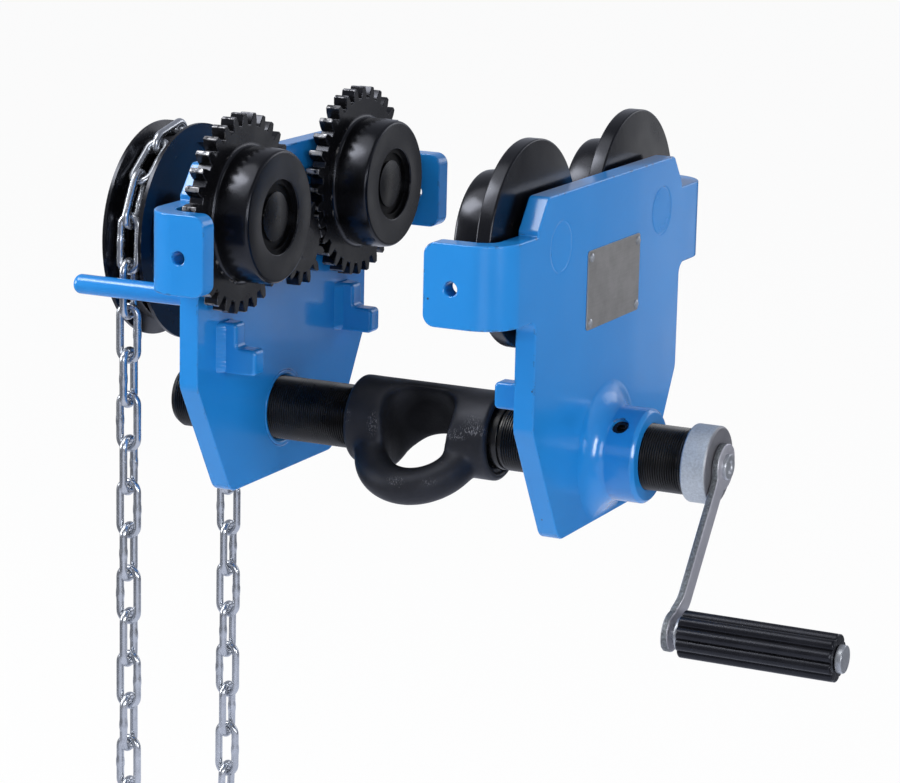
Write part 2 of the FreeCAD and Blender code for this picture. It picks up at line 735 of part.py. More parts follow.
def pinion_shaft():
    """The pinion in one piece with its shaft, a keyway for the chain wheel at the far end."""
    shaft = turned("pinion_bar", [
        (SHAFT_END, "0"),
        (SHAFT_END, "shaft_diameter / 2 - shaft_edge"),
        (f"{SHAFT_END} + shaft_edge", "shaft_diameter / 2"),
        (f"{SHAFT_END} + shaft_tail - fit_clearance", "shaft_diameter / 2"),
        (f"{SHAFT_END} + shaft_tail - fit_clearance", f"{SHAFT_GROOVE} - fit_clearance"),
        (HUB_END, f"{SHAFT_GROOVE} - fit_clearance"),
        (HUB_END, "shaft_diameter / 2"),
        (f"{FLANGE_END} + shaft_edge", "shaft_diameter / 2"),
        (f"{FLANGE_END} + shaft_edge", "0"),
    ])
    teeth = round(value("pinion_teeth"))
    disc = toothed_disc("pinion_teeth_disc", teeth, value(f"{PINION_TIP} / 2"), math.pi / 2, None)
    toothed = joined("Fuse", "pinion_toothed", (shaft, disc))
    on_side(toothed, "geared", "0", PINION_HEIGHT)
    keyway = key_box("pinion_keyway", "fit_clearance")
    named(joined("Cut", "pinion_keyed", (toothed, keyway)), "pinion_shaft")


def key_box(name, room):
    """A key's box across the shaft's surface, larger by the room on each side."""
    box = doc.addObject("Part::Box", name)
    bind(box, "Length", f"key_length + 2 * ({room})")
    bind(box, "Width", f"key_width + 2 * ({room})")
    bind(box, "Height", f"key_height + 2 * ({room})")
    start = f"-half_gap + {CHAIN_PLANE} - key_length / 2 - ({room})"
    height = f"{PINION_HEIGHT} + shaft_diameter / 2 - key_height / 2 - ({room})"
    return place(box, start, f"-key_width / 2 - ({room})", height)


def chain_disc(label, sign, flare):
    """One pressed disc of the chain wheel: flat web, stepped seat for the flat links and flared rim."""
    def out(offset):
        return f"{CHAIN_PLANE} + {sign} * ({offset})"
    body = turned(label, [
        (out(f"{DISC_GAP} / 2"), f"{CHAIN_HUB_RADIUS} + fit_clearance"),
        (out(f"{DISC_GAP} / 2"), DISC_SEAT),
        (out(DISC_SEAT_END), DISC_SEAT),
        (out(f"{DISC_SEAT_END} + {flare}"), CHAIN_WHEEL_RADIUS),
        (out(f"{DISC_SEAT_END} + {flare} + disc_thickness"), CHAIN_WHEEL_RADIUS),
        (out(f"{DISC_SEAT_END} + disc_thickness"), f"{DISC_SEAT} - disc_thickness"),
        (out(f"{DISC_GAP} / 2 + disc_thickness"), f"{DISC_SEAT} - disc_thickness"),
        (out(f"{DISC_GAP} / 2 + disc_thickness"), f"{CHAIN_HUB_RADIUS} + fit_clearance"),
    ])
    named(on_side(body, "geared", "0", PINION_HEIGHT), label)


def hand_drive():
    """Pinion, its bearing in the plate, and the chain wheel on its outer end."""
    pinion_shaft()
    flange_start = f"{CHAIN_PLANE} + {DISC_GAP} / 2"
    flange_end = f"{CHAIN_PLANE} - {DISC_GAP} / 2"
    flange_radius = f"{LINK_RADIUS} - chain_width / 2 - hub_flange_gap"
    hub = turned("chain_hub_blank", [
        (HUB_START, "shaft_diameter / 2 + fit_clearance"),
        (HUB_START, CHAIN_HUB_RADIUS),
        (flange_start, CHAIN_HUB_RADIUS),
        (flange_start, flange_radius),
        (flange_end, flange_radius),
        (flange_end, CHAIN_HUB_RADIUS),
        (HUB_END, CHAIN_HUB_RADIUS),
        (HUB_END, "shaft_diameter / 2 + fit_clearance"),
    ])
    on_side(hub, "geared", "0", PINION_HEIGHT)
    keyway = key_box("hub_keyway", "fit_clearance")
    named(joined("Cut", "chain_hub_keyed", (hub, keyway)), "chain_wheel_hub")
    named(key_box("chain_wheel_key", "0"), "chain_wheel_key")
    chain_disc("chain_wheel_inner_disc", "1", "inner_disc_flare")
    chain_disc("chain_wheel_outer_disc", "-1", "outer_disc_flare")
    clip_outside = "(shaft_diameter + 2 * shaft_circlip_rise)"
    clip = ring("shaft_clip", f"({HUB_END} - shaft_circlip_thickness)", HUB_END,
                f"(2 * {SHAFT_GROOVE})", clip_outside, "360 - circlip_opening")
    named(on_side(clip, "geared", "0", PINION_HEIGHT), "chain_wheel_circlip")
    housing = turned("pinion_housing_tube", [
        ("-plate_thickness", f"{BUSH_OUTSIDE} / 2 + fit_clearance"),
        ("-plate_thickness", f"{HOUSING_RADIUS} + housing_weld"),
        ("-plate_thickness - housing_weld", HOUSING_RADIUS),
        (HOUSING_END, HOUSING_RADIUS),
        (HOUSING_END, f"{BUSH_OUTSIDE} / 2 + fit_clearance"),
    ])
    named(on_side(housing, "geared", "0", PINION_HEIGHT), "pinion_housing")
    bore = "(shaft_diameter + 2 * fit_clearance)"
    bushes = [
        ring("inner_bush", "0", "-bush_length", bore, BUSH_OUTSIDE),
        ring("outer_bush", HOUSING_END, f"({HOUSING_END} + bush_length)", bore, BUSH_OUTSIDE),
    ]
    group("pinion_bushes", [on_side(bush, "geared", "0", PINION_HEIGHT) for bush in bushes])
    washer_outside = f"({BUSH_OUTSIDE} + 2 * washer_rim)"
    washer = ring("thrust_washer", "0", "(wheel_gap - running_gap)", bore, washer_outside)
    named(on_side(washer, "geared", "0", PINION_HEIGHT), "pinion_thrust_washer")


# Hand chain
def link_shape():
    """One chain link about the origin, its length along X and its width along Y."""
    wire = value("chain_wire") / 2
    bend = (value("chain_width") - value("chain_wire")) / 2
    turn_step = math.pi / BEND_RUNS
    stretch = 1 / math.cos(turn_step / 2)
    inner_reach = bend / stretch - wire * math.cos(math.pi / WIRE_SIDES)
    straight = value("chain_pitch + chain_link_gap") / 2 - inner_reach
    rings = []
    for step in range(2 * BEND_RUNS):
        angle = (step + 0.5) * turn_step - math.pi / 2
        end = 1 if step < BEND_RUNS else -1
        outward = V(math.cos(angle), math.sin(angle), 0)
        middle = V(end * straight, 0, 0) + outward * bend
        ring_points = []
        for corner in range(WIRE_SIDES):
            spin = (corner + 0.5) * 2 * math.pi / WIRE_SIDES
            out = outward * (wire * stretch * math.cos(spin))
            ring_points.append(middle + out + V(0, 0, wire * math.sin(spin)))
        rings.append(ring_points)
    faces = []
    for index, first in enumerate(rings):
        second = rings[(index + 1) % len(rings)]
        for corner in range(WIRE_SIDES):
            after = (corner + 1) % WIRE_SIDES
            points = [first[corner], first[after], second[after], second[corner], first[corner]]
            faces.append(Part.Face(Part.makePolygon(points)))
    return Part.Solid(Part.Shell(faces))


def chain_stations():
    """Middle, direction and run name of every link, once round the loop from the front of the wheel.

    A joint between two links lies at the top of the wheel; each strand's first link leads off the wheel.
    """
    pitch = value("chain_pitch")
    wrap = round(value("chain_wheel_links")) // 2
    count = round(value("chain_strand_links"))
    step = math.pi / wrap
    radius = value(STRAND_PLACE)
    top = value(PINION_HEIGHT)
    lead_in = radius * (1 - math.cos(step / 2))
    lead_drop = math.sqrt(pitch ** 2 - lead_in ** 2) - radius * math.sin(step / 2)
    low = top - 2 * lead_drop - (count - 2) * pitch
    joints = []
    for index in range(wrap):
        angle = math.pi - (index + 0.5) * step
        joints.append((V(0, radius * math.cos(angle), top + radius * math.sin(angle)), "over_wheel"))
    for index in range(count - 1):
        joints.append((V(0, radius, top - lead_drop - index * pitch), "back_strand"))
    for index in range(wrap):
        angle = -(index + 0.5) * step
        joints.append((V(0, radius * math.cos(angle), low + radius * math.sin(angle)), "bottom_loop"))
    for index in range(count - 1):
        joints.append((V(0, -radius, low + lead_drop + index * pitch), "front_strand"))
    stations = []
    for index, (start, run) in enumerate(joints):
        end, end_run = joints[(index + 1) % len(joints)]
        way = end - start
        strand = run if "strand" in run else end_run
        stations.append(((start + end) * 0.5, math.atan2(way.z, way.y), strand))
    return stations


def hand_chain():
    """The endless hand chain, as separate links that lie flat and on edge by turns."""
    template = link_shape()
    across = value(f"-half_gap + {CHAIN_PLANE}")
    runs = {}
    for index, (middle, angle, run) in enumerate(chain_stations()):
        link = template.copy()
        if index % 2 == 0:
            link.rotate(V(0, 0, 0), V(1, 0, 0), 90)
        link.rotate(V(0, 0, 0), V(0, 0, 1), 90)
        link.rotate(V(0, 0, 0), V(1, 0, 0), math.degrees(angle))
        link.translate(middle + V(across, 0, 0))
        runs.setdefault(run, []).append(link)
    for run, links in runs.items():
        feature = doc.addObject("Part::Feature", f"hand_chain_{run}")
        feature.Shape = Part.makeCompound(links)
        named(feature, f"hand_chain_{run}")


def chain_guide(end, sign):
    """A round finger welded to the plate that keeps the chain in line with its wheel."""
    body = turned(f"chain_guide_{end}", [
        ("-plate_thickness", "0"),
        ("-plate_thickness", "guide_diameter / 2"),
        ("-plate_thickness - guide_reach + guide_edge", "guide_diameter / 2", "guide_edge", 1),
        ("-plate_thickness - guide_reach", "guide_diameter / 2 - guide_edge"),
        ("-plate_thickness - guide_reach", "0"),
    ])
    across = f"{sign} * ({STRAND_PLACE} + chain_width / 2 + guide_gap + guide_diameter / 2)"
    named(on_side(body, "geared", across, "guide_height"), f"chain_guide_{end}")


# Load spindle with the suspension eye and the crank
def screw_outline(sign, end, tail):
    """Half section of one threaded screw, from its journal in the eye to its outer end."""
    shoulder = "(eye_length / 2 - eye_counterbore_depth + running_gap)"
    return [
        (f"{sign} * (eye_bore_end + running_gap)", "0"),
        (f"{sign} * (eye_bore_end + running_gap)", f"{EYE_BORE} - fit_clearance"),
        (f"{sign} * {shoulder}", f"{EYE_BORE} - fit_clearance"),
        (f"{sign} * {shoulder}", "screw_diameter / 2"),
        (f"{sign} * ({end} - screw_edge)", "screw_diameter / 2"),
        (f"{sign} * {end}", "screw_diameter / 2 - screw_edge"),
        *tail,
    ]


def load_spindle():
    """The forged eye between a left-hand and a right-hand screw, and the crank's collar."""
    left = turned("left_screw", screw_outline("-1", "left_screw_end", [("-left_screw_end", "0")]))
    named(place(left, "0", "0", "spindle_height"), "left_screw")
    stub_end = f"({ARM_FRONT} + stub_head)"
    right = turned("right_screw", screw_outline("1", "right_screw_end", [
        ("right_screw_end", "stub_diameter / 2"),
        (f"{stub_end} - stub_head", "stub_diameter / 2"),
        (stub_end, "stub_diameter / 2 - stub_head"),
        (stub_end, "0"),
    ]))
    named(place(right, "0", "0", "spindle_height"), "right_screw")
    collar = turned("crank_collar", [
        ("right_screw_end", "stub_diameter / 2 + fit_clearance"),
        ("right_screw_end", "collar_diameter / 2 - collar_edge"),
        ("right_screw_end + collar_edge", "collar_diameter / 2"),
        (f"{COLLAR_END} - collar_edge", "collar_diameter / 2"),
        (COLLAR_END, "collar_diameter / 2 - collar_edge"),
        (COLLAR_END, "stub_diameter / 2 + fit_clearance"),
    ])
    named(place(collar, "0", "0", "spindle_height"), "crank_collar")
    suspension_eye()


def suspension_eye():
    """The forging: a barrel bored from both ends, and a bow with a rounded window above it."""
    barrel = [
        ("eye_length / 2", "0"),
        ("eye_length / 2", f"{EYE_RADIUS} - eye_edge"),
        ("eye_length / 2 - eye_edge", EYE_RADIUS),
    ]
    body = turned("suspension_eye", mirrored_loop(barrel))
    path = body.newObject("Sketcher::SketchObject", "bow_path")
    support = [item for item in body.Origin.OriginFeatures if item.Role == "XZ_Plane"][0]
    path.AttachmentSupport = (support, [""])
    path.MapMode = "FlatFace"
    radius = value(BOW_RADIUS)
    centre = -value(BOW_CENTRE)
    path.addGeometry(Part.LineSegment(V(-radius, 0, 0), V(-radius, centre, 0)), False)
    path.addGeometry(Part.Arc(V(-radius, centre, 0), V(0, centre - radius, 0), V(radius, centre, 0)), False)
    path.addGeometry(Part.LineSegment(V(radius, centre, 0), V(radius, 0, 0)), False)
    path.addConstraint(Sketcher.Constraint("Coincident", 0, 2, 1, 1))
    path.addConstraint(Sketcher.Constraint("Coincident", 1, 2, 2, 1))
    fix_point(path, 0, 1, f"-{BOW_RADIUS}", "0")
    fix_point(path, 0, 2, f"-{BOW_RADIUS}", f"-{BOW_CENTRE}")
    fix_point(path, 2, 1, BOW_RADIUS, f"-{BOW_CENTRE}")
    fix_point(path, 2, 2, BOW_RADIUS, "0")
    rule = path.addConstraint(Sketcher.Constraint("DistanceY", -1, 1, 1, 3, centre))
    bind(path, f"Constraints[{rule}]", f"-{BOW_CENTRE}")
    section = sketch_on(body, "XY_Plane", [(f"-{BOW_RADIUS}", "0", "bow_bar")])
    doc.recompute()
    bow = body.newObject("PartDesign::AdditivePipe", "bow")
    bow.Profile = section
    bow.Spine = (path, ["Edge1", "Edge2", "Edge3"])
    doc.recompute()
    low = f"-({EYE_RADIUS} + cut_overrun)"
    throat = f"({BOW_RADIUS} - bow_bar / 2)"
    side = "window_width / 2"
    window = [
        (f"-{throat}", low),
        (f"-{side}", "-window_taper_start"),
        (f"-{side}", "window_top - window_corner", "window_corner", -1),
        (f"-({side} - window_corner)", "window_top"),
        (f"{side} - window_corner", "window_top", "window_corner", -1),
        (side, "window_top - window_corner"),
        (side, "-window_taper_start"),
        (throat, low),
    ]
    pocket(body, sketch_on(body, "XZ_Plane", [window]), both=True)
    bores = sketch_on(body, "XY_Plane", [eye_bore("-1"), eye_bore("1")])
    groove = body.newObject("PartDesign::Groove", "eye_bores")
    groove.Profile = bores
    groove.ReferenceAxis = (bores, ["H_Axis"])
    doc.recompute()
    named(on_spindle(body, "eye_angle"), "suspension_eye")


def eye_bore(sign):
    """Half section of the bore in one end of the eye, with its wider mouth."""
    end = "eye_length / 2 + cut_overrun"
    mouth = "eye_length / 2 - eye_counterbore_depth"
    return [
        (f"{sign} * eye_bore_end", "0"),
        (f"{sign} * eye_bore_end", EYE_BORE),
        (f"{sign} * ({mouth})", EYE_BORE),
        (f"{sign} * ({mouth})", "screw_diameter / 2 + eye_counterbore_gap"),
        (f"{sign} * ({end})", "screw_diameter / 2 + eye_counterbore_gap"),
        (f"{sign} * ({end})", "0"),
    ]


def crank():
    """The cranked arm on the right screw's stub, and the ribbed grip that spins on its pin."""
    plan = new_body("arm_plan")
    half_bar = "arm_width / 2"
    bar = [
        (f"-{half_bar}", "-arm_length"),
        (half_bar, "-arm_length"),
        (half_bar, "0"),
        (f"-{half_bar}", "0"),
    ]
    plan_start = f"{COLLAR_END} - arm_joggle"
    plan_end = f"{ARM_RUN} + arm_thickness"
    for outline in (bar, ("0", "0", "arm_head"), ("0", "-arm_length", "arm_eye")):
        pad(plan, sketch_on(plan, "YZ_Plane", [outline], plan_start), f"{plan_end} - ({plan_start})")
    holes = [
        ("0", "0", "stub_diameter + 2 * fit_clearance"),
        ("0", "-arm_length", "grip_pin + 2 * fit_clearance"),
    ]
    pocket(plan, sketch_on(plan, "YZ_Plane", holes, plan_end))
    side = new_body("arm_side")
    top = "arm_head / 2 + cut_overrun"
    bottom = "-arm_length - arm_eye / 2 - cut_overrun"
    step_top = "-arm_length + arm_joggle_start + arm_joggle_run"
    step_low = "-arm_length + arm_joggle_start"
    profile = [
        (COLLAR_END, top),
        (COLLAR_END, "-arm_head / 2"),
        (ARM_RUN, step_top),
        (ARM_BACK, step_low),
        (ARM_BACK, bottom),
        (f"{ARM_BACK} + arm_thickness", bottom),
        (f"{ARM_BACK} + arm_thickness", step_low),
        (f"{ARM_RUN} + arm_thickness", step_top),
        (ARM_FRONT, "-arm_head / 2"),
        (ARM_FRONT, top),
    ]
    pad(side, sketch_on(side, "XZ_Plane", [profile]), "arm_head + arm_eye", both=True)
    named(on_spindle(joined("Common", "arm_forged", (plan, side)), "crank_angle"), "crank_arm")
    pin_start = f"({ARM_BACK} + arm_thickness)"
    head_start = f"({GRIP_END} + running_gap)"
    pin = turned("crank_grip_pin", [
        (ARM_BACK, "0"),
        (ARM_BACK, "grip_pin / 2"),
        (pin_start, "grip_pin / 2"),
        (pin_start, "grip_pin_flange / 2"),
        (f"{pin_start} + grip_pin_flange_length", "grip_pin_flange / 2"),
        (f"{pin_start} + grip_pin_flange_length", "grip_pin / 2"),
        (head_start, "grip_pin / 2"),
        (head_start, "grip_pin_head / 2"),
        (f"{head_start} + grip_pin_head_length", "grip_pin_head / 2"),
        (f"{head_start} + grip_pin_head_length", "0"),
    ], lift="-arm_length")
    named(on_spindle(pin, "crank_angle"), "crank_grip_pin")
    grip = turned("crank_grip", [
        (GRIP_START, "grip_pin / 2 + fit_clearance"),
        (GRIP_START, "grip_diameter / 2 - grip_edge"),
        (f"{GRIP_START} + grip_edge", "grip_diameter / 2"),
        (f"{GRIP_END} - grip_edge", "grip_diameter / 2"),
        (GRIP_END, "grip_diameter / 2 - grip_edge"),
        (GRIP_END, "grip_pin / 2 + fit_clearance"),
    ], lift="-arm_length")
    count = round(value("grip_grooves"))
    flutes = []
    for index in range(count):
        angle = f"({index} * 360 / grip_grooves)"
        out = "(grip_diameter / 2 + grip_groove_rise)"
        flutes.append((f"{out} * sin({angle})", f"-arm_length + {out} * cos({angle})", "grip_groove"))
    pocket(grip, sketch_on(grip, "YZ_Plane", flutes), both=True)
    named(on_spindle(grip, "crank_angle"), "crank_grip")


# Name plate, left bare, on the plain side
def name_plate():
    """A thin plate on the side plate's outer face, with a rivet at each corner."""
    body = new_body("name_plate_blank")
    half = "name_plate_length / 2"
    tall = "name_plate_height / 2"
    face = [(f"-{half}", f"-{tall}"), (half, f"-{tall}"), (half, tall), (f"-{half}", tall)]
    spots = []
    for across in ("-1", "1"):
        for up in ("-1", "1"):
            spots.append((f"{across} * ({half} - rivet_inset)", f"{up} * ({tall} - rivet_inset)"))
    holes = [(*spot, "rivet_diameter + 2 * fit_clearance") for spot in spots]
    pad(body, sketch_on(body, "YZ_Plane", [face, *holes]), "name_plate_thickness")
    soften(body, "Fillet", "name_plate_corner", lambda middle, way: along(way, "x"))
    outer_face = "half_gap + plate_thickness"
    named(place(body, outer_face, "name_plate_middle", "name_plate_raise"), "name_plate")
    rivets = []
    for index, (across, up) in enumerate(spots):
        rivet = turned(f"name_plate_rivet_{index}", [
            ("0", "0"),
            ("0", "rivet_diameter / 2"),
            ("name_plate_thickness", "rivet_diameter / 2"),
            ("name_plate_thickness", "rivet_head / 2"),
            ("name_plate_thickness + rivet_head_height / 2", "rivet_head / 2"),
            ("name_plate_thickness + rivet_head_height", "rivet_head / 4"),
            ("name_plate_thickness + rivet_head_height", "0"),
        ])
        rivets.append(place(rivet, outer_face, f"name_plate_middle + {across}", f"name_plate_raise + {up}"))
    group("name_plate_rivets", rivets)


def build():
    """All pieces of the trolley."""
    for side in ("geared", "plain"):
        side_plate(side)
        spindle_boss(side)
        lugs(side)
        for end, y in (("front", f"-{AXLE_PLACE}"), ("back", AXLE_PLACE)):
            axle(side, end, y)
            wheel(side, end, y)
    hand_drive()
    hand_chain()
    chain_guide("front", "-1")
    chain_guide("back", "1")
    load_spindle()
    crank()
    name_plate()
    doc.recompute()


def check():
    """Stops before anything is written if an object failed or a piece is not a sound shape."""
    failed = [item.Label for item in doc.Objects if {"Invalid", "Error"} & set(item.State)]
    unsound = [item.Label for item in parts if item.Shape.isNull() or not item.Shape.isValid()]
    if failed or unsound:
        raise RuntimeError(f"failed objects {failed}, unsound shapes {unsound}")


def write():
    """One STEP file for each piece."""
    os.makedirs("parts", exist_ok=True)
    for item in parts:
        item.Shape.exportStep(f"parts/{item.Label}.step")
    print(len(parts), "pieces written")


build()
check()
write()
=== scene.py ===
import json
import math

import bmesh
import bpy
import numpy as np
from mathutils import Matrix, Vector, noise


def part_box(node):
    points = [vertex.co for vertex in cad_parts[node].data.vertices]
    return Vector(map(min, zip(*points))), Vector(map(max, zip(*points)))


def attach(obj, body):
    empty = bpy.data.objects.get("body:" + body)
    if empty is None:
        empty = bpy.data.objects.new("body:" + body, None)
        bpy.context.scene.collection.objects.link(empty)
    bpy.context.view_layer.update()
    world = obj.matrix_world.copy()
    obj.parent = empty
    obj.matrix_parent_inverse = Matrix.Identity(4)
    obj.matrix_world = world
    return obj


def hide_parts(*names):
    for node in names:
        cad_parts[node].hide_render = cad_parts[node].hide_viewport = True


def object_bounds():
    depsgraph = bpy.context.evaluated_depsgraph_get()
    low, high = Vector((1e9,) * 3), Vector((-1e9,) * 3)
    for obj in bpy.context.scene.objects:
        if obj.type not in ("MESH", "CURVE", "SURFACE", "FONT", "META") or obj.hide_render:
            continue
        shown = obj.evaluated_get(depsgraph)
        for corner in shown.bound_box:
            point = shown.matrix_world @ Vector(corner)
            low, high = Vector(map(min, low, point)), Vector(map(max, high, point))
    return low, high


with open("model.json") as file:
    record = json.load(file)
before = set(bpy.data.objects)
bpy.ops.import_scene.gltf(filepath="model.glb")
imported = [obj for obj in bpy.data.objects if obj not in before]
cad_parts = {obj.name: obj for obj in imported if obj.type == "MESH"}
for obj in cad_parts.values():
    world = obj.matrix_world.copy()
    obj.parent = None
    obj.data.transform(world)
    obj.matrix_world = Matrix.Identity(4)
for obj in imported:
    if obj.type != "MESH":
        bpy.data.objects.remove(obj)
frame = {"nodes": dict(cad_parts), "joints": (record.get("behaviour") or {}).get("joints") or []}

cad_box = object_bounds()
nodes = frame["nodes"]
joints = {joint["name"]: joint for joint in frame["joints"]}
MM = 0.001
SIDES = (("geared", -1), ("plain", 1))
ENDS = ("front", "back")

# Sizes of the construction that the new pieces follow, in metres
PLATE_INSIDE = 101.4 * MM
PLATE_OUTSIDE = 113.9 * MM
TREAD_RADIUS = 40 * MM
TREAD_END = 65 * MM
FLANGE_FACE = 88 * MM
FLANGE_BACK = 97 * MM
FLANGE_RADIUS = 59 * MM
BEARING_BACK = 83.25 * MM
BEARING_SEAT = 22.05 * MM
BEARING_SHOULDER = 18 * MM
AXLE_END_RADIUS = 14.5 * MM
GEAR_TIP = 59 * MM
BOSS_RADIUS = 28 * MM
HOUSING_RADIUS = 22 * MM
GUIDE_RADIUS = 6 * MM
CHAIN_WIRE = 2.4 * MM
CHAIN_BEND = 6.1 * MM
CHAIN_STRAIGHT = 10.59 * MM
GRIP_PIN_RADIUS = 5.05 * MM
SCREW_RADIUS = 19.5 * MM
JOURNAL_RADIUS = 17.95 * MM
SCREW_SHOULDER = 43.8 * MM
SCREW_EDGE = 2 * MM
STUB_RADIUS = 7 * MM
STUB_EDGE = 1.5 * MM
STUB_PEEN = 0.8 * MM

# How surface detail is found
SPOT_CORE_SHARE = 0.45
EDGE_SAMPLES = 4
EDGE_NONE, EDGE_FULL = 0.985, 0.85
NOISE_MIDDLE = (0.3, 0.7)


# Materials
class Nodes:
    """A material's node tree with short calls to add to it."""

    def __init__(self, name):
        self.material = bpy.data.materials.new(name)
        self.material.use_nodes = True
        self.tree = self.material.node_tree
        self.shader = self.tree.nodes["Principled BSDF"]
        self.place = self.add("ShaderNodeTexCoord").outputs["Object"]

    def add(self, kind, **values):
        node = self.tree.nodes.new(kind)
        for key, value in values.items():
            setattr(node, key, value)
        return node

    def feed(self, socket, value):
        if hasattr(value, "is_output"):
            self.tree.links.new(value, socket)
        else:
            socket.default_value = value

    def noise(self, scale, detail=2.0, rough=0.5, place=None):
        node = self.add("ShaderNodeTexNoise")
        self.feed(node.inputs["Vector"], place or self.place)
        node.inputs["Scale"].default_value = scale
        node.inputs["Detail"].default_value = detail
        node.inputs["Roughness"].default_value = rough
        return node.outputs["Fac"]

    def cloud(self, scale, detail, low, high, rough=0.5):
        """Noise that is 0 below one level and 1 above another."""
        return self.span(self.noise(scale, detail, rough), low, high)

    def uneven(self, scale, detail, least, most, rough=0.5):
        """Noise between a least and a most value."""
        return self.span(self.noise(scale, detail, rough), *NOISE_MIDDLE, least, most)

    def specks(self, scale, size, keep):
        """1 in small round specks, on a share of a grain's cells."""
        node = self.add("ShaderNodeTexVoronoi")
        self.feed(node.inputs["Vector"], self.place)
        node.inputs["Scale"].default_value = scale
        chance = self.add("ShaderNodeSeparateColor")
        self.feed(chance.inputs[0], node.outputs["Color"])
        kept = self.math("LESS_THAN", chance.outputs[0], keep)
        return self.math("MULTIPLY", kept, self.span(node.outputs["Distance"], size, size / 2))

    def stretch(self, x, y, z):
        node = self.add("ShaderNodeMapping")
        self.feed(node.inputs["Vector"], self.place)
        node.inputs["Scale"].default_value = (x, y, z)
        return node.outputs["Vector"]

    def axis(self, index):
        node = self.add("ShaderNodeSeparateXYZ")
        self.feed(node.inputs[0], self.place)
        return node.outputs[index]

    def spot(self, middle, reach):
        """1 at a place on the part, falling to 0 at its reach along X, Y and Z."""
        node = self.add("ShaderNodeVectorMath", operation="SUBTRACT")
        self.feed(node.inputs[0], self.place)
        node.inputs[1].default_value = middle
        share = self.add("ShaderNodeVectorMath", operation="DIVIDE")
        self.feed(share.inputs[0], node.outputs["Vector"])
        share.inputs[1].default_value = reach
        away = self.add("ShaderNodeVectorMath", operation="LENGTH")
        self.feed(away.inputs[0], share.outputs["Vector"])
        return self.span(away.outputs["Value"], 1.0, SPOT_CORE_SHARE)

    def span(self, value, low, high, out_low=0.0, out_high=1.0):
        node = self.add("ShaderNodeMapRange")
        for key, item in (("Value", value), ("From Min", low), ("From Max", high),
                          ("To Min", out_low), ("To Max", out_high)):
            self.feed(node.inputs[key], item)
        return node.outputs["Result"]

    def math(self, operation, first, second=0.0):
        node = self.add("ShaderNodeMath", operation=operation)
        self.feed(node.inputs[0], first)
        self.feed(node.inputs[1], second)
        return node.outputs[0]

    def mix(self, share, first, second):
        node = self.add("ShaderNodeMix", data_type="RGBA")
        self.feed(node.inputs[0], share)
        for socket, value in ((node.inputs[6], first), (node.inputs[7], second)):
            self.feed(socket, value if hasattr(value, "is_output") else (*value, 1.0))
        return node.outputs[2]

    def bump(self, height, distance, strength=1.0):
        node = self.add("ShaderNodeBump")
        self.feed(node.inputs["Height"], height)
        node.inputs["Distance"].default_value = distance
        self.feed(node.inputs["Strength"], strength)
        return node.outputs["Normal"]

    def edges(self, radius):
        """1 on sharp edges, 0 on flat faces."""
        rounded = self.add("ShaderNodeBevel", samples=EDGE_SAMPLES)
        rounded.inputs["Radius"].default_value = radius
        node = self.add("ShaderNodeVectorMath", operation="DOT_PRODUCT")
        self.feed(node.inputs[0], rounded.outputs["Normal"])
        self.feed(node.inputs[1], self.add("ShaderNodeNewGeometry").outputs["Normal"])
        return self.span(node.outputs["Value"], EDGE_NONE, EDGE_FULL)

    def finish(self, colour, roughness, metallic=0.0, normal=None, **extra):
        inputs = self.shader.inputs
        self.feed(inputs["Base Color"], colour)
        self.feed(inputs["Roughness"], roughness)
        self.feed(inputs["Metallic"], metallic)
        if normal:
            self.feed(inputs["Normal"], normal)
        for key, value in extra.items():
            self.feed(inputs[key.replace("_", " ")], value)
        return self.material


# Colours, most of them as the two tones that a surface clouds between
BLUE = ((0.013, 0.215, 0.6), (0.017, 0.24, 0.65))
BLACK = ((0.0022, 0.0022, 0.0026), (0.0052, 0.005, 0.0056))
# Bearing rings' black, darkened as painted shade in the wheels' recess
OILY_SHADE_TONES = ((0.0015, 0.0015, 0.0018), (0.0045, 0.0043, 0.0045))
SCREW_TONES = ((0.003, 0.003, 0.0033), (0.009, 0.0088, 0.009))
FORGED_TONES = ((0.0085, 0.0088, 0.0105), (0.0185, 0.0187, 0.0215))
PLASTIC_TONES = ((0.0045, 0.0045, 0.0058), (0.009, 0.009, 0.0115))
SHEET_TONES = ((0.42, 0.41, 0.4), (0.33, 0.322, 0.31))
BRONZE_TONES = ((0.35, 0.2, 0.07), (0.24, 0.13, 0.045))
CHIP = (0.03, 0.035, 0.042)
RUBBED = (0.19, 0.185, 0.18)
DUST = (0.16, 0.155, 0.15)
BARE_TIP = (0.3, 0.3, 0.31)
GREY_SPECK = (0.1, 0.1, 0.1)
PLASTIC_SPECK = (0.1, 0.1, 0.11)
FORGED_PAINTED_SHADE = (0.002, 0.002, 0.0024)
SCUFF = (0.24, 0.24, 0.26)
# Cool colour of the world light and the floor's reflected glow, also used as a painted cool tint on
# the reflections of dark finishes
COOL = (0.82, 0.86, 1.0, 1.0)

# Reaches and depths of surface detail
CHIP_REACH = 2.4 * MM
RUB_REACH = 1.4 * MM
TIP_WORN_FROM = 0.7 * MM
TIP_WORN_FULL = 0.2 * MM
TIP_PAST = 1 * MM
PEEL = 0.12 * MM
OIL_GRAIN = 0.08 * MM
SCREW_GRAIN = 0.04 * MM
FORGED_GRAIN = 0.5 * MM
CUT_GRAIN = 0.3 * MM
PLASTIC_GRAIN = 0.06 * MM
BRUSH_GRAIN = 0.05 * MM


def tinted(tone, *shares):
    """A grey tone, with a share for each of red, green and blue."""
    return tuple(tone * share for share in shares)


def paint_tone(m, chipped=True):
    """Blue that clouds a little, with dark specks, and with chips on the edges if chipped."""
    tone = m.mix(m.cloud(9, 3, 0.35, 0.65), *BLUE)
    dirt = m.specks(160, 0.13, 0.035)
    if chipped:
        chips = m.math("MULTIPLY", m.edges(CHIP_REACH), m.cloud(150, 4, 0.575, 0.6, 0.65))
        dirt = m.math("MAXIMUM", dirt, chips)
    return m.mix(dirt, tone, CHIP)


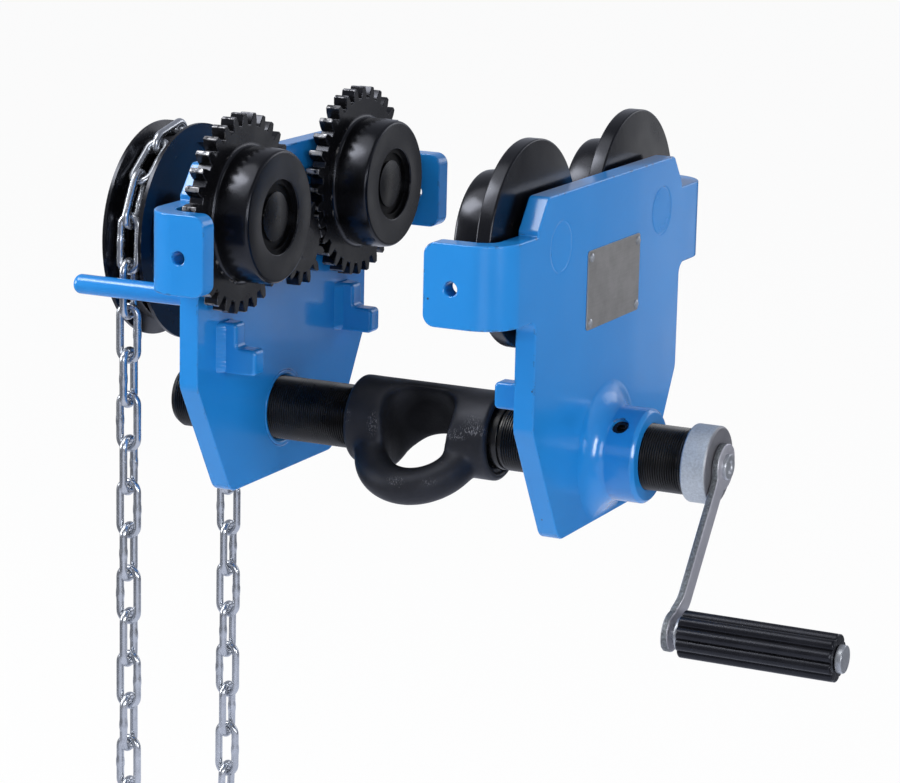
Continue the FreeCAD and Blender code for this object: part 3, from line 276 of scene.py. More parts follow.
def blue_paint(name, chipped):
    """Sprayed gloss enamel with a faint orange peel."""
    m = Nodes(name)
    tone = paint_tone(m, chipped)
    peel = m.bump(m.noise(230), PEEL, 0.35)
    roughness = m.uneven(30, 3, 0.17, 0.25)
    return m.finish(tone, roughness, 0.0, peel, Coat_Weight=0.2, Coat_Roughness=0.06)


def black_tone(m):
    """Black that clouds a little, rubbed grey on edges and dusted with specks."""
    tone = m.mix(m.cloud(60, 4, 0.4, 0.75, 0.6), *BLACK)
    rubbed = m.math("MULTIPLY", m.edges(RUB_REACH), m.cloud(150, 4, 0.56, 0.68, 0.65))
    tone = m.mix(m.math("MULTIPLY", rubbed, 0.7), tone, RUBBED)
    return m.mix(m.math("MULTIPLY", m.specks(210, 0.1, 0.05), 0.6), tone, DUST)


def black_enamel():
    """Thick black gloss."""
    m = Nodes("black_enamel")
    bump = m.bump(m.noise(240, 3), PEEL, 0.14)
    roughness = m.uneven(45, 4, 0.18, 0.29)
    # Specular tint: painted cool tint on the enamel's reflections
    return m.finish(black_tone(m), roughness, 0.0, bump,
                    Specular_IOR_Level=0.42, Specular_Tint=COOL)


def gear_enamel():
    """Black gloss, rubbed to bare steel on the tips of the teeth."""
    m = Nodes("gear_enamel")
    tips = 0.0
    for end in ENDS:
        _, y, z = joints[f"geared_{end}_wheel_spin"]["pos_m"]
        ways = [m.math("POWER", m.math("SUBTRACT", m.axis(axis), middle), 2.0)
                for axis, middle in ((1, y), (2, z))]
        reach = m.math("SQRT", m.math("ADD", *ways))
        tip = m.span(reach, GEAR_TIP - TIP_WORN_FROM, GEAR_TIP - TIP_WORN_FULL)
        near = m.math("LESS_THAN", reach, GEAR_TIP + TIP_PAST)
        tips = m.math("MAXIMUM", tips, m.math("MULTIPLY", tip, near))
    bare = m.math("MULTIPLY", tips, m.cloud(260, 4, 0.42, 0.58, 0.6))
    colour = m.mix(bare, black_tone(m), BARE_TIP)
    bump = m.bump(m.noise(240, 3), PEEL, 0.2)
    roughness = m.uneven(45, 4, 0.18, 0.3)
    # Specular tint: painted cool tint on the enamel's reflections
    return m.finish(colour, roughness, m.math("MULTIPLY", bare, 0.6), bump,
                    Specular_IOR_Level=0.42, Specular_Tint=COOL)


def oily_shaded_black():
    """Dull, oily black of the bearing rings, darker and less shiny than the enamel as painted shade
    in their recess.
    """
    m = Nodes("oily_shaded_black")
    tone = m.mix(m.cloud(120, 4, 0.35, 0.7), *OILY_SHADE_TONES)
    bump = m.bump(m.noise(500, 3), OIL_GRAIN, 0.3)
    return m.finish(tone, m.uneven(90, 3, 0.3, 0.5), 0.0, bump, Specular_IOR_Level=0.12)


def axle_finish():
    """Black on the wheels' side, and the plate's blue on the riveted end."""
    m = Nodes("axle_finish")
    outside = m.math("GREATER_THAN", m.math("ABSOLUTE", m.axis(0)), PLATE_INSIDE)
    colour = m.mix(outside, black_tone(m), paint_tone(m))
    bump = m.bump(m.noise(230), PEEL, 0.35)
    return m.finish(colour, m.uneven(45, 4, 0.2, 0.3), 0.0, bump, Specular_IOR_Level=0.45)


def black_steel():
    """Oiled, blackened steel of the screws."""
    m = Nodes("black_steel")
    tone = m.mix(m.cloud(90, 4, 0.4, 0.75, 0.6), *SCREW_TONES)
    tone = m.mix(m.math("MULTIPLY", m.specks(260, 0.12, 0.05), 0.5), tone, GREY_SPECK)
    return m.finish(tone, m.uneven(50, 3, 0.2, 0.34), 0.0, m.bump(m.noise(500), SCREW_GRAIN, 0.4))


# Scuffs on the eye: place and reach in millimetres, and strength
SCUFFS = (
    ((-27, -25, -89), (4, 8, 9), 0.9),
    ((-44, -26, -86), (3, 8, 6), 0.5),
    ((28, -26, -88), (10, 8, 4), 0.9),
    ((40, -25, -84), (11, 8, 4), 1.0),
    ((38, -25, -79), (8, 8, 4), 0.4),
    ((0, -49, -115), (7, 8, 3), 0.8),
    ((20, -45, -114), (6, 8, 3), 0.3),
)
SCUFF_STRETCH = (1500, 900, 620)
# Middle and reach of the painted shade inside the eye's window, in metres
EYE_SHADE_MIDDLE = (0, 4 * MM, -98 * MM)
EYE_SHADE_REACH = (42 * MM, 33 * MM, 50 * MM)


def dark_forging():
    """Forged and blackened steel, with a few light scuffs, and painted shade with little shine
    inside the eye.
    """
    m = Nodes("dark_forging")
    tone = m.mix(m.cloud(35, 5, 0.35, 0.7, 0.65), *FORGED_TONES)
    # Painted shade: the inside of the eye's window is darkened and given little shine
    inside = m.spot(EYE_SHADE_MIDDLE, EYE_SHADE_REACH)
    tone = m.mix(inside, tone, FORGED_PAINTED_SHADE)
    streak = m.span(m.noise(1.0, 4, 0.75, m.stretch(*SCUFF_STRETCH)), 0.54, 0.62)
    scuffed = m.math("MULTIPLY", m.specks(300, 0.14, 0.03), 0.4)
    for middle, reach, share in SCUFFS:
        patch = m.spot([value * MM for value in middle], [value * MM for value in reach])
        patch = m.math("MULTIPLY", m.math("MULTIPLY", patch, share), streak)
        scuffed = m.math("MAXIMUM", scuffed, patch)
    colour = m.mix(scuffed, tone, SCUFF)
    bump = m.bump(m.noise(150, 5, 0.6), FORGED_GRAIN, 0.35)
    shine = m.span(inside, 0.0, 1.0, 0.4, 0.06)
    roughness = m.uneven(80, 4, 0.42, 0.56)
    # Specular tint: painted cool tint on the forging's reflections
    return m.finish(colour, roughness, 0.0, bump, Specular_IOR_Level=shine, Specular_Tint=COOL)


def zinc_plate(name, grain, tone, rough, metal, speckle):
    """Zinc over drawn or forged steel, with darker clouds."""
    m = Nodes(name)
    streak = m.noise(1.0, 3, 0.6, m.stretch(grain, grain, grain))
    dark, light = tinted(tone, 0.76, 0.8, 0.86), tinted(tone, 0.93, 0.97, 1.04)
    shade = m.mix(m.span(streak, *NOISE_MIDDLE), dark, light)
    cloud = m.math("MULTIPLY", m.cloud(160, 5, 0.5, 0.75, 0.7), 0.5)
    colour = m.mix(cloud, shade, tinted(tone, 0.5, 0.51, 0.54))
    roughness = m.uneven(300, 4, rough * 0.75, rough * 1.25, 0.6)
    return m.finish(colour, roughness, metal, m.bump(m.noise(420, 4, 0.6), speckle, 0.4))


def cut_zinc_painted_light(name, face, edge, rough):
    """Zinc on cut steel: smooth faces across X, and grainy edges between two tones, the faces and
    the edges in different tones as painted light and shade.
    """
    m = Nodes(name)
    way = m.add("ShaderNodeSeparateXYZ")
    m.feed(way.inputs[0], m.add("ShaderNodeNewGeometry").outputs["Normal"])
    side = m.span(m.math("ABSOLUTE", way.outputs[0]), 0.75, 0.3)
    grain = m.noise(760, 5, 0.7)
    flat = m.mix(m.cloud(60, 4, 0.3, 0.7), tinted(face, 0.84, 0.84, 0.94), tinted(face, 1, 1, 1.08))
    dark, light = (tinted(tone, 0.93, 1, 1.07) for tone in edge)
    grainy = m.mix(m.span(grain, 0.35, 0.65), dark, light)
    bump = m.bump(grain, CUT_GRAIN, m.span(side, 0.0, 1.0, 0.1, 0.6))
    roughness = m.span(side, 0.0, 1.0, rough, rough * 1.4)
    return m.finish(m.mix(side, flat, grainy), roughness, 0.6, bump)


def black_plastic():
    """Moulded grip with a satin skin."""
    m = Nodes("black_plastic")
    tone = m.mix(m.cloud(70, 4, 0.4, 0.75), *PLASTIC_TONES)
    tone = m.mix(m.math("MULTIPLY", m.specks(330, 0.12, 0.04), 0.35), tone, PLASTIC_SPECK)
    bump = m.bump(m.noise(600, 3), PLASTIC_GRAIN, 0.4)
    roughness = m.uneven(120, 3, 0.22, 0.32)
    # Specular tint: painted cool tint on the plastic's reflections
    return m.finish(tone, roughness, 0.0, bump, Specular_IOR_Level=0.36, Specular_Tint=COOL)


def bare_aluminium():
    """Brushed sheet of the blank name plate, a little smudged."""
    m = Nodes("bare_aluminium")
    streak = m.noise(1.0, 4, 0.6, m.stretch(300, 60, 1500))
    colour = m.mix(m.cloud(60, 5, 0.4, 0.7, 0.65), *SHEET_TONES)
    roughness = m.span(streak, *NOISE_MIDDLE, 0.34, 0.5)
    return m.finish(colour, roughness, 0.8, m.bump(streak, BRUSH_GRAIN, 0.3))


def bronze():
    """Sintered bronze of the bushes."""
    m = Nodes("bronze")
    tone = m.mix(m.cloud(80, 4, 0.35, 0.7), *BRONZE_TONES)
    return m.finish(tone, m.uneven(60, 3, 0.3, 0.45), 1.0)


PAINT = blue_paint("blue_paint", True)
WELD_PAINT = blue_paint("weld_paint", False)
ENAMEL = black_enamel()
AXLE = axle_finish()
SCREW = black_steel()
FORGING = dark_forging()
ZINC = zinc_plate("zinc_plate", grain=40, tone=0.5, rough=0.36, metal=0.7, speckle=0.2 * MM)
CHAIN = zinc_plate("chain_zinc", grain=90, tone=0.62, rough=0.24, metal=0.9, speckle=0.14 * MM)
# Painted light and shade: the collar's end face is darker and its side lighter; the arm's dark
# edges are partly grainy sheared steel and partly painted shade
COLLAR = cut_zinc_painted_light("collar_zinc", face=0.26, edge=(0.5, 0.66), rough=0.4)
ARM = cut_zinc_painted_light("crank_zinc", face=0.54, edge=(0.095, 0.27), rough=0.38)
GEAR = gear_enamel()
OILY_SHADED = oily_shaded_black()
PLASTIC = black_plastic()
SHEET = bare_aluminium()
BRONZE = bronze()

# The first row that names part of a node's name gives its finish
FINISHES = (
    (("_side_plate", "_side_boss", "_side_lugs", "pinion_housing", "chain_guide_"), PAINT),
    (("_axle",), AXLE),
    (("hand_chain",), CHAIN),
    (("geared_front_wheel_rim", "geared_back_wheel_rim", "pinion_shaft"), GEAR),
    (("bearing_", "_wheel_circlip"), OILY_SHADED),
    (("_wheel", "set_screw", "pinion_thrust"), ENAMEL),
    (("left_screw", "right_screw"), SCREW),
    (("suspension_eye",), FORGING),
    (("crank_collar",), COLLAR),
    (("crank_arm",), ARM),
    (("crank_grip_pin", "rivets"), ZINC),
    (("crank_grip",), PLASTIC),
    (("bushes",), BRONZE),
    (("name_plate",), SHEET),
)


def finish_of(name):
    for words, finish in FINISHES:
        if any(word in name for word in words):
            return finish
    raise ValueError(name)


for name, thing in nodes.items():
    thing.data.materials.clear()
    thing.data.materials.append(finish_of(name))


# Rounded edges of the carried-over pieces, with their width in millimetres
ROUNDED = (
    (("_side_plate",), 0.9),
    (("_side_lugs",), 2.0),
    (("_side_boss", "crank_collar", "crank_grip_pin"), 0.6),
    (("_wheel_rim",), 0.45),
    (("pinion_shaft", "pinion_housing"), 0.5),
    (("name_plate",), 0.2),
)
JOIN_DISTANCE = 0.01 * MM
FLAT_ANGLE = math.radians(0.4)
SMOOTH_ANGLE = math.radians(32)
ROUND_STEPS = 3


def round_edges(thing, width):
    """Joins the split corners, clears the flats and rounds the sharp edges."""
    weld = thing.modifiers.new("join", "WELD")
    weld.merge_threshold = JOIN_DISTANCE
    flat = thing.modifiers.new("flat", "DECIMATE")
    flat.decimate_type = "DISSOLVE"
    flat.angle_limit = FLAT_ANGLE
    bevel = thing.modifiers.new("round", "BEVEL")
    bevel.width = width
    bevel.segments = ROUND_STEPS
    bevel.limit_method = "ANGLE"
    bevel.angle_limit = SMOOTH_ANGLE
    bevel.use_clamp_overlap = False
    normals = thing.modifiers.new("normals", "WEIGHTED_NORMAL")
    normals.keep_sharp = False


for name, thing in nodes.items():
    for words, width in ROUNDED:
        if name.endswith(words):
            round_edges(thing, width * MM)
            break


# New pieces
MERGE_DISTANCE = 0.002 * MM
TINY_EDGE = 0.001 * MM
CORNER_STEPS = 6
LATHE_STEPS = 160
SHARP_DEGREES = 40.0


def piece(name, points, faces, finish, body, sharp=SHARP_DEGREES):
    """A new closed mesh that rides on a body."""
    mesh = bpy.data.meshes.new(name)
    mesh.from_pydata([tuple(point) for point in points], [], faces)
    work = bmesh.new()
    work.from_mesh(mesh)
    bmesh.ops.remove_doubles(work, verts=work.verts, dist=MERGE_DISTANCE)
    bmesh.ops.dissolve_degenerate(work, edges=work.edges, dist=TINY_EDGE)
    bmesh.ops.recalc_face_normals(work, faces=work.faces)
    work.to_mesh(mesh)
    work.free()
    mesh.shade_smooth()
    mesh.set_sharp_from_angle(angle=math.radians(sharp))
    mesh.materials.append(finish)
    thing = bpy.data.objects.new(name, mesh)
    bpy.context.scene.collection.objects.link(thing)
    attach(thing, body)
    return thing


def grid(rows, columns, start=0, ring=False, shift=0):
    """Quads over rows of points that go all the way round; shift joins a helix's ends."""
    faces = []
    for row in range(rows if ring else rows - 1):
        for column in range(columns):
            wrap = shift if column == columns - 1 else 0
            corners = ((row, column), (row + wrap, (column + 1) % columns))
            corners += tuple((r + 1, c) for r, c in reversed(corners))
            if ring or all(0 <= r < rows for r, _ in corners):
                faces.append(tuple(start + (r % rows) * columns + c for r, c in corners))
    return faces


def fan(start, columns):
    """A cap over one row of points."""
    return [tuple(range(start, start + columns))]


def around(centre, x, radius, angle):
    """A point at a radius and angle about an axis along X."""
    return x, centre.y + radius * math.cos(angle), centre.z + radius * math.sin(angle)


def turned(profile, centre, steps):
    """Points of (x, radius) pairs turned about an axis along X."""
    angles = [2 * math.pi * step / steps for step in range(steps)]
    return [around(centre, x, radius, angle) for x, radius in profile for angle in angles]


def rounded(corners):
    """A closed outline of (x, radius, rounding) corners, with arcs at the rounded ones."""
    outline = []
    for index, (x, radius, rounding) in enumerate(corners):
        here = Vector((x, radius))
        if not rounding:
            outline.append(tuple(here))
            continue
        before = Vector(corners[index - 1][:2])
        after = Vector(corners[(index + 1) % len(corners)][:2])
        start = here + (before - here).normalized() * rounding
        end = here + (after - here).normalized() * rounding
        for step in range(CORNER_STEPS + 1):
            share = step / CORNER_STEPS
            rest = 1 - share
            outline.append(tuple(start * rest ** 2 + here * (2 * share * rest) + end * share ** 2))
    return outline


def lathe(name, corners, centre, sign, finish, body, steps=LATHE_STEPS):
    """A closed ring turned about an axis along X."""
    profile = [(sign * x, radius) for x, radius in rounded(corners)]
    faces = grid(len(profile), steps, ring=True)
    return piece(name, turned(profile, centre, steps), faces, finish, body)


# Suspension eye, with the bow and the barrel flowing into each other, and a drawn-in lip
# at the back of its window
EYE_GRAIN = 0.9 * MM
EYE_PASSES = 60
EDGE_PASSES = 3
SOFTEN_SHARE = 0.5
EYE_END_KEPT = 2 * MM
EYE_END_BLEND = 9 * MM
LIP_MIDDLE = (4 * MM, 19.8 * MM, -104.3 * MM)
LIP_REACH = (26 * MM, 15 * MM, 15 * MM)
LIP_WAY = (0.0, -0.59, 0.81)
LIP_SHIFT = 8.5 * MM


def remeshed(thing, grain):
    """Corners, edges and faces of an even mesh over a node."""
    copy = bpy.data.objects.new("remeshed", thing.data.copy())
    bpy.context.scene.collection.objects.link(copy)
    remesh = copy.modifiers.new("even", "REMESH")
    remesh.mode = "VOXEL"
    remesh.voxel_size = grain
    bpy.context.view_layer.update()
    even = copy.evaluated_get(bpy.context.evaluated_depsgraph_get()).to_mesh()
    points = np.array([tuple(corner.co) for corner in even.vertices])
    edges = np.array([tuple(edge.vertices) for edge in even.edges])
    faces = [tuple(face.vertices) for face in even.polygons]
    bpy.data.objects.remove(copy, do_unlink=True)
    return points, edges, faces


def soften(points, edges, share, passes):
    """Draws each corner towards the middle of its neighbours."""
    count = len(points)
    first, second = edges[:, 0], edges[:, 1]
    near = np.bincount(edges.ravel(), minlength=count)[:, None]
    for _ in range(passes):
        total = np.stack([
            np.bincount(first, points[second, axis], count)
            + np.bincount(second, points[first, axis], count)
            for axis in range(3)
        ], 1)
        points = points + share[:, None] * (total / near - points)
    return points


eye_points, eye_edges, eye_faces = remeshed(nodes["suspension_eye"], EYE_GRAIN)
eye_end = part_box("suspension_eye")[1].x
from_end = eye_end - np.abs(eye_points[:, 0])
lip_away = np.sum(((eye_points - LIP_MIDDLE) / LIP_REACH) ** 2, 1)
eye_points = eye_points + np.outer(LIP_SHIFT * np.clip(1 - lip_away, 0, 1) ** 2, LIP_WAY)
inner_share = SOFTEN_SHARE * np.clip((from_end - EYE_END_KEPT) / EYE_END_BLEND, 0, 1)
edge_share = np.full(len(eye_points), SOFTEN_SHARE)
eye_points = soften(eye_points, eye_edges, edge_share, EDGE_PASSES)
eye_points = soften(eye_points, eye_edges, inner_share, EYE_PASSES)
forged_eye = piece("suspension_eye_forged", eye_points, eye_faces, FORGING, "spindle",
                   sharp=70.0)
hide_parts("suspension_eye")

# Threads of the load spindle
THREAD_PITCH = 1.5 * MM
THREAD_ROOT = 18.72 * MM
THREAD_STEPS = 80
THREAD_PROFILE = ((0.0, 0.0), (0.12, 0.0), (0.5, 1.0), (0.62, 1.0))  # shares of pitch and depth
spindle_axis = Vector(joints["spindle_turn"]["pos_m"])


def thread(start, end):
    """Points and faces of a helical thread between two plain ends."""
    turns = math.ceil((end - start) / THREAD_PITCH) + 2
    rows = turns * len(THREAD_PROFILE)
    points = []
    for row in range(rows):
        turn, part = divmod(row, len(THREAD_PROFILE))
        offset, lift = THREAD_PROFILE[part]
        for step in range(THREAD_STEPS):
            share = step / THREAD_STEPS
            along = turn + offset - share
            x = min(max(start + THREAD_PITCH * along, start), end)
            fade = min(1.0, (x - start) / THREAD_PITCH, (end - x) / THREAD_PITCH)
            radius = THREAD_ROOT + (SCREW_RADIUS - THREAD_ROOT) * lift * fade
            points.append(around(spindle_axis, x, radius, 2 * math.pi * share))
    return points, grid(rows, THREAD_STEPS, shift=-len(THREAD_PROFILE))


def threaded_bar(name, node, body, sign, start, end, before, after):
    """A screw: plain rows, a thread and more plain rows, as distances from the middle.

    The sign sends it to one side, so the left and right screws have opposite hands.
    """
    points, faces = thread(start, end)
    for rows, joint in ((before, start), (after, end)):
        profile = [(joint, THREAD_ROOT), *rows]
        first = len(points)
        points += turned(profile, spindle_axis, THREAD_STEPS)
        faces += grid(len(profile), THREAD_STEPS, first)
        faces += fan(first + (len(profile) - 1) * THREAD_STEPS, THREAD_STEPS)
    points = [(sign * x, y, z) for x, y, z in points]
    screw = piece(name, points, faces, SCREW, body, sharp=25.0)
    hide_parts(node)


left_end = -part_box("left_screw")[0].x
screw_start = -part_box("left_screw")[1].x
stub_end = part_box("right_screw")[1].x
collar_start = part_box("crank_collar")[0].x
NECK_END = 51.5 * MM
NECK_GROOVE = 53.0 * MM
NECK_EDGE = 0.8 * MM
NECK_ROUND_SHARE = 0.3
journal = [(SCREW_SHOULDER, JOURNAL_RADIUS), (screw_start, JOURNAL_RADIUS)]
neck = [
    (NECK_GROOVE, JOURNAL_RADIUS),
    (NECK_END, JOURNAL_RADIUS),
    (NECK_END, SCREW_RADIUS - NECK_EDGE),
    (NECK_END - NECK_ROUND_SHARE * NECK_EDGE, SCREW_RADIUS - NECK_ROUND_SHARE * NECK_EDGE),
    (NECK_END - NECK_EDGE, SCREW_RADIUS),
    (SCREW_SHOULDER, SCREW_RADIUS),
]
left_tip = [
    (left_end - SCREW_EDGE, SCREW_RADIUS - NECK_EDGE),
    (left_end, SCREW_RADIUS - SCREW_EDGE),
]
threaded_bar("left_screw_thread", "left_screw", "left_spindle", -1, SCREW_SHOULDER,
             left_end - SCREW_EDGE, journal, left_tip)
right_tip = [(collar_start, SCREW_RADIUS - SCREW_EDGE)]
threaded_bar("right_screw_thread", "right_screw", "spindle", 1, NECK_GROOVE,
             collar_start - SCREW_EDGE, neck + journal, right_tip)

# Stub that the crank is riveted to, with a peened end
STUB_PIT = 1.2 * MM
STUB_STEPS = 96
# Shares of its radius
STUB_CORE, PIT_MOUTH, PIT_FLOOR, PIT_ROUND, PIT_CENTRE = (
    share * STUB_RADIUS for share in (0.3, 0.55, 0.4, 0.1, 0.02)
)
stub_corners = [
    (collar_start, STUB_CORE, 0),
    (collar_start, STUB_RADIUS, 0),
    (stub_end, STUB_RADIUS + STUB_PEEN, STUB_EDGE),
    (stub_end, PIT_MOUTH, PIT_ROUND),
    (stub_end - STUB_PIT, PIT_FLOOR, PIT_ROUND),
    (stub_end - STUB_PIT, PIT_CENTRE, 0),
]
lathe("crank_stub", stub_corners, spindle_axis, 1, ZINC, "spindle", STUB_STEPS)


# Crank arm: a flat bar with a round head and eye, set back just before the eye
ARM_LENGTH = 107 * MM
ARM_HEAD = 13.5 * MM
ARM_EYE = 11.3 * MM
ARM_HALF = 6.3 * MM
ARM_THICK = 4.7 * MM
ARM_STEPS = 150
ARM_SECTION = 40
ARM_SQUARE = 6.0
ARM_NECK = 5 * MM
ARM_NECK_SHARE = 0.35
ARM_TIP_HALF = 0.02 * MM
ARM_TIP_SHARE = 0.55
ARM_ROW_SHARE = 0.5
ARM_MIDDLES = ((-20, 187.5), (14, 187.5), (88, 188.4), (96, 186.4), (125, 186.4))  # along, x in mm
ARM_EASE = [0.8 * step for step in range(-4, 5)]
grip_axis = Vector(joints["grip_spin"]["pos_m"])
arm_way = Vector((0, grip_axis.y - spindle_axis.y, grip_axis.z - spindle_axis.z)).normalized()
arm_across = Vector((1, 0, 0)).cross(arm_way)


def round_half(along, middle, radius):
    """Half width of a disc, at a distance along the arm."""
    return math.sqrt(max(radius ** 2 - (along - middle) ** 2, 0.0))


def arm_half(along):
    """Half width of the arm, with soft necks between the bar and its ends."""
    bar = ARM_HALF if 0 <= along <= ARM_LENGTH else 0.0
    half = max(bar, round_half(along, 0, ARM_HEAD), round_half(along, ARM_LENGTH, ARM_EYE))
    for middle, radius in ((0, ARM_HEAD), (ARM_LENGTH, ARM_EYE)):
        past = abs(along - middle) - math.sqrt(radius ** 2 - ARM_HALF ** 2) + ARM_NECK / 2
        if bar and 0 < past < 2 * ARM_NECK:
            fade = (1 - past / (2 * ARM_NECK)) ** 2 * min(past / ARM_NECK, 1.0)
            half += ARM_NECK_SHARE * ARM_NECK * fade
    return half


def arm_middle(along):
    """Place along X of the bar's middle, eased at its bends."""
    places = [np.interp(along / MM + ease, *zip(*ARM_MIDDLES)) for ease in ARM_EASE]
    return sum(places) / len(places) * MM


def squared(value):
    """Bulges a circle's sine or cosine towards a square's."""
    return math.copysign(abs(value) ** (2 / ARM_SQUARE), value)


arm_points = []
for row in range(ARM_STEPS + 1):
    ends = (1 - math.cos(math.pi * row / ARM_STEPS)) / 2
    share = ARM_ROW_SHARE * ends + (1 - ARM_ROW_SHARE) * row / ARM_STEPS
    along = -ARM_HEAD + (ARM_HEAD + ARM_LENGTH + ARM_EYE) * share
    half = max(arm_half(along), ARM_TIP_HALF)
    centre = spindle_axis + arm_way * along
    centre.x = arm_middle(along)
    for step in range(ARM_SECTION):
        angle = 2 * math.pi * step / ARM_SECTION
        edge = min(1.0, math.sqrt(half / ARM_HALF) + ARM_TIP_SHARE)
        thick = ARM_THICK / 2 * squared(math.sin(angle)) * edge
        wide = half * squared(math.cos(angle))
        arm_points.append(centre + arm_across * wide + Vector((thick, 0, 0)))
arm_faces = grid(ARM_STEPS + 1, ARM_SECTION)
arm_faces += fan(0, ARM_SECTION) + fan(ARM_STEPS * ARM_SECTION, ARM_SECTION)
arm = piece("crank_arm_forged", arm_points, arm_faces, ARM, "spindle", sharp=50.0)
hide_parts("crank_arm")

# Hand chain
LINK_BEND_STEPS = 14
LINK_SIDE_STEPS = 12
LINK_RING = 14
LINK_WELD = 0.13
LINK_WELD_REACH = 2.6 * MM
LINK_WELD_UNEVEN = 0.5
LINK_WELD_SCALE = 900


def shells(thing):
    """Points of each separate shell of a node, joined at its split corners."""
    work = bmesh.new()
    work.from_mesh(thing.data)
    bmesh.ops.remove_doubles(work, verts=work.verts, dist=TINY_EDGE)
    work.verts.ensure_lookup_table()
    seen = set()
    groups = []
    for seed in work.verts:
        if seed.index in seen:
            continue
        seen.add(seed.index)
        group, queue = [], [seed]
        while queue:
            corner = queue.pop()
            group.append(tuple(corner.co))
            for edge in corner.link_edges:
                other = edge.other_vert(corner)
                if other.index not in seen:
                    seen.add(other.index)
                    queue.append(other)
        groups.append(np.array(group))
    work.free()
    return groups


def link_frame(points):
    """Middle of a link, and the ways of its length, width and flat side."""
    middle = (points.min(0) + points.max(0)) / 2
    spread = points - points.mean(0)
    ways = np.linalg.eigh(spread.T @ spread)[1].T[::-1]
    ways = [way * (1 if way[np.argmax(np.abs(way))] > 0 else -1) for way in ways]
    return Vector(middle), [Vector(way) for way in ways]


def link_path():
    """Places along a link's wire: length, width, the outward angle and nearness to the weld."""
    path = []
    for end in (1, -1):
        for step in range(LINK_BEND_STEPS + 1):
            angle = math.pi * (step / LINK_BEND_STEPS - 0.5) + (0 if end > 0 else math.pi)
            u = end * CHAIN_STRAIGHT + CHAIN_BEND * math.cos(angle)
            path.append((u, CHAIN_BEND * math.sin(angle), angle, 0.0))
        for step in range(1, LINK_SIDE_STEPS):
            u = end * CHAIN_STRAIGHT * (1 - 2 * step / LINK_SIDE_STEPS)
            near = math.exp(-(u / LINK_WELD_REACH) ** 4) if end > 0 else 0.0
            path.append((u, end * CHAIN_BEND, end * math.pi / 2, near))
    return path


LINK_PATH = link_path()
for node in [name for name in nodes if name.startswith("hand_chain")]:
    points, faces = [], []
    for index, shell in enumerate(shells(nodes[node])):
        middle, (long, wide, flat) = link_frame(shell)
        side = 1 if index % 4 < 2 else -1  # turns the weld to one side or the other
        start = len(points)
        for u, w, angle, near in LINK_PATH:
            lump = 1 + LINK_WELD_UNEVEN * noise.noise((u * LINK_WELD_SCALE, index, 0))
            radius = CHAIN_WIRE * (1 + LINK_WELD * near * lump)
            out = long * math.cos(angle) + wide * (side * math.sin(angle))
            place = middle + long * u + wide * (side * w)
            for step in range(LINK_RING):
                spin = 2 * math.pi * step / LINK_RING
                off = out * (radius * math.cos(spin)) + flat * (radius * math.sin(spin))
                points.append(place + off)
        faces += grid(len(LINK_PATH), LINK_RING, start, ring=True)
    links = piece(f"{node}_links", points, faces, CHAIN, "geared_side", sharp=80.0)
    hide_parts(node)


# Ribbed grip
GRIP_LOBES = 10
GRIP_STEPS = 240
GRIP_DEPTH = 2.4 * MM
GRIP_LOBE = 0.75
GRIP_END_ROUND = 1.6 * MM
GRIP_END_ROWS = 7
GRIP_END_FOLLOW = 0.25


def grip_row(x, inset, centre, radius):
    """One outline of the grip: broad lobes with narrow grooves between them."""
    row = []
    for step in range(GRIP_STEPS):
        angle = 2 * math.pi * step / GRIP_STEPS
        lobe = abs(math.sin(GRIP_LOBES * angle / 2))
        depth = GRIP_DEPTH * (1 - lobe ** GRIP_LOBE)
        reach = radius - max(depth, inset) - GRIP_END_FOLLOW * min(depth, inset)
        row.append(around(centre, x, reach, angle))
    return row


low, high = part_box("crank_grip")
grip_centre = (low + high) / 2
grip_radius = (high.y - low.y) / 2
grip_rows = []
for end, sign in ((low.x, 1), (high.x, -1)):
    rows = []
    for step in range(GRIP_END_ROWS):
        angle = math.pi / 2 * step / (GRIP_END_ROWS - 1)
        x = end + sign * GRIP_END_ROUND * (1 - math.sin(angle))
        rows.append(grip_row(x, GRIP_END_ROUND * (1 - math.cos(angle)), grip_centre, grip_radius))
    rows.append(turned([(end, GRIP_PIN_RADIUS)], grip_centre, GRIP_STEPS))
    grip_rows += reversed(rows) if sign > 0 else rows
grip_points = [point for row in grip_rows for point in row]
grip_faces = grid(len(grip_rows), GRIP_STEPS, ring=True)
grip = piece("crank_grip_ribbed", grip_points, grip_faces, PLASTIC, "grip",
             sharp=50.0)
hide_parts("crank_grip")

# Welds, under the paint
BEAD_SECTION = 9
COVE_SECTION = 17
COVE_BURIED = 3
COVE_POWER = 3.1
COVE_LIFT = 0.04 * MM
BEAD_BURY = 0.4 * MM
BEAD_BULGE = 0.1
RIPPLE_PITCH = 2.4 * MM
RIPPLE = 0.02
WANDER = 0.09
WANDER_SCALE = 110
WANDER_APART = Vector((7.3, 0, 0))
COVE_WANDER = 0.6 * WANDER
COVE_RIPPLE = 0.5 * RIPPLE
WELD_SHARP = 60.0


def cove(stations, leg_a):
    """Rows of a hollow weld that runs out softly.

    Its stations hold a corner, ways a and b, the distance along the weld and leg b.
    """
    points = []
    for corner, way_a, way_b, distance, leg_b in stations:
        spot = corner * WANDER_SCALE
        wander = 1 + COVE_WANDER * noise.noise(spot)
        ripple = 1 + COVE_RIPPLE * abs(math.sin(math.pi * distance / RIPPLE_PITCH))
        for step in range(COVE_SECTION):
            angle = math.pi / 2 * step / (COVE_SECTION - 1)
            a = leg_a * wander * ripple * math.cos(angle) ** COVE_POWER
            b = leg_b * ripple * math.sin(angle) ** COVE_POWER
            points.append(corner + way_a * (a + COVE_LIFT) + way_b * (b + COVE_LIFT))
        points.append(corner + way_a * (COVE_LIFT - BEAD_BURY) + way_b * (leg_b - BEAD_BURY))
        points.append(corner - way_a * BEAD_BURY - way_b * BEAD_BURY)
        points.append(corner + way_a * (leg_a - BEAD_BURY) + way_b * (COVE_LIFT - BEAD_BURY))
    return points


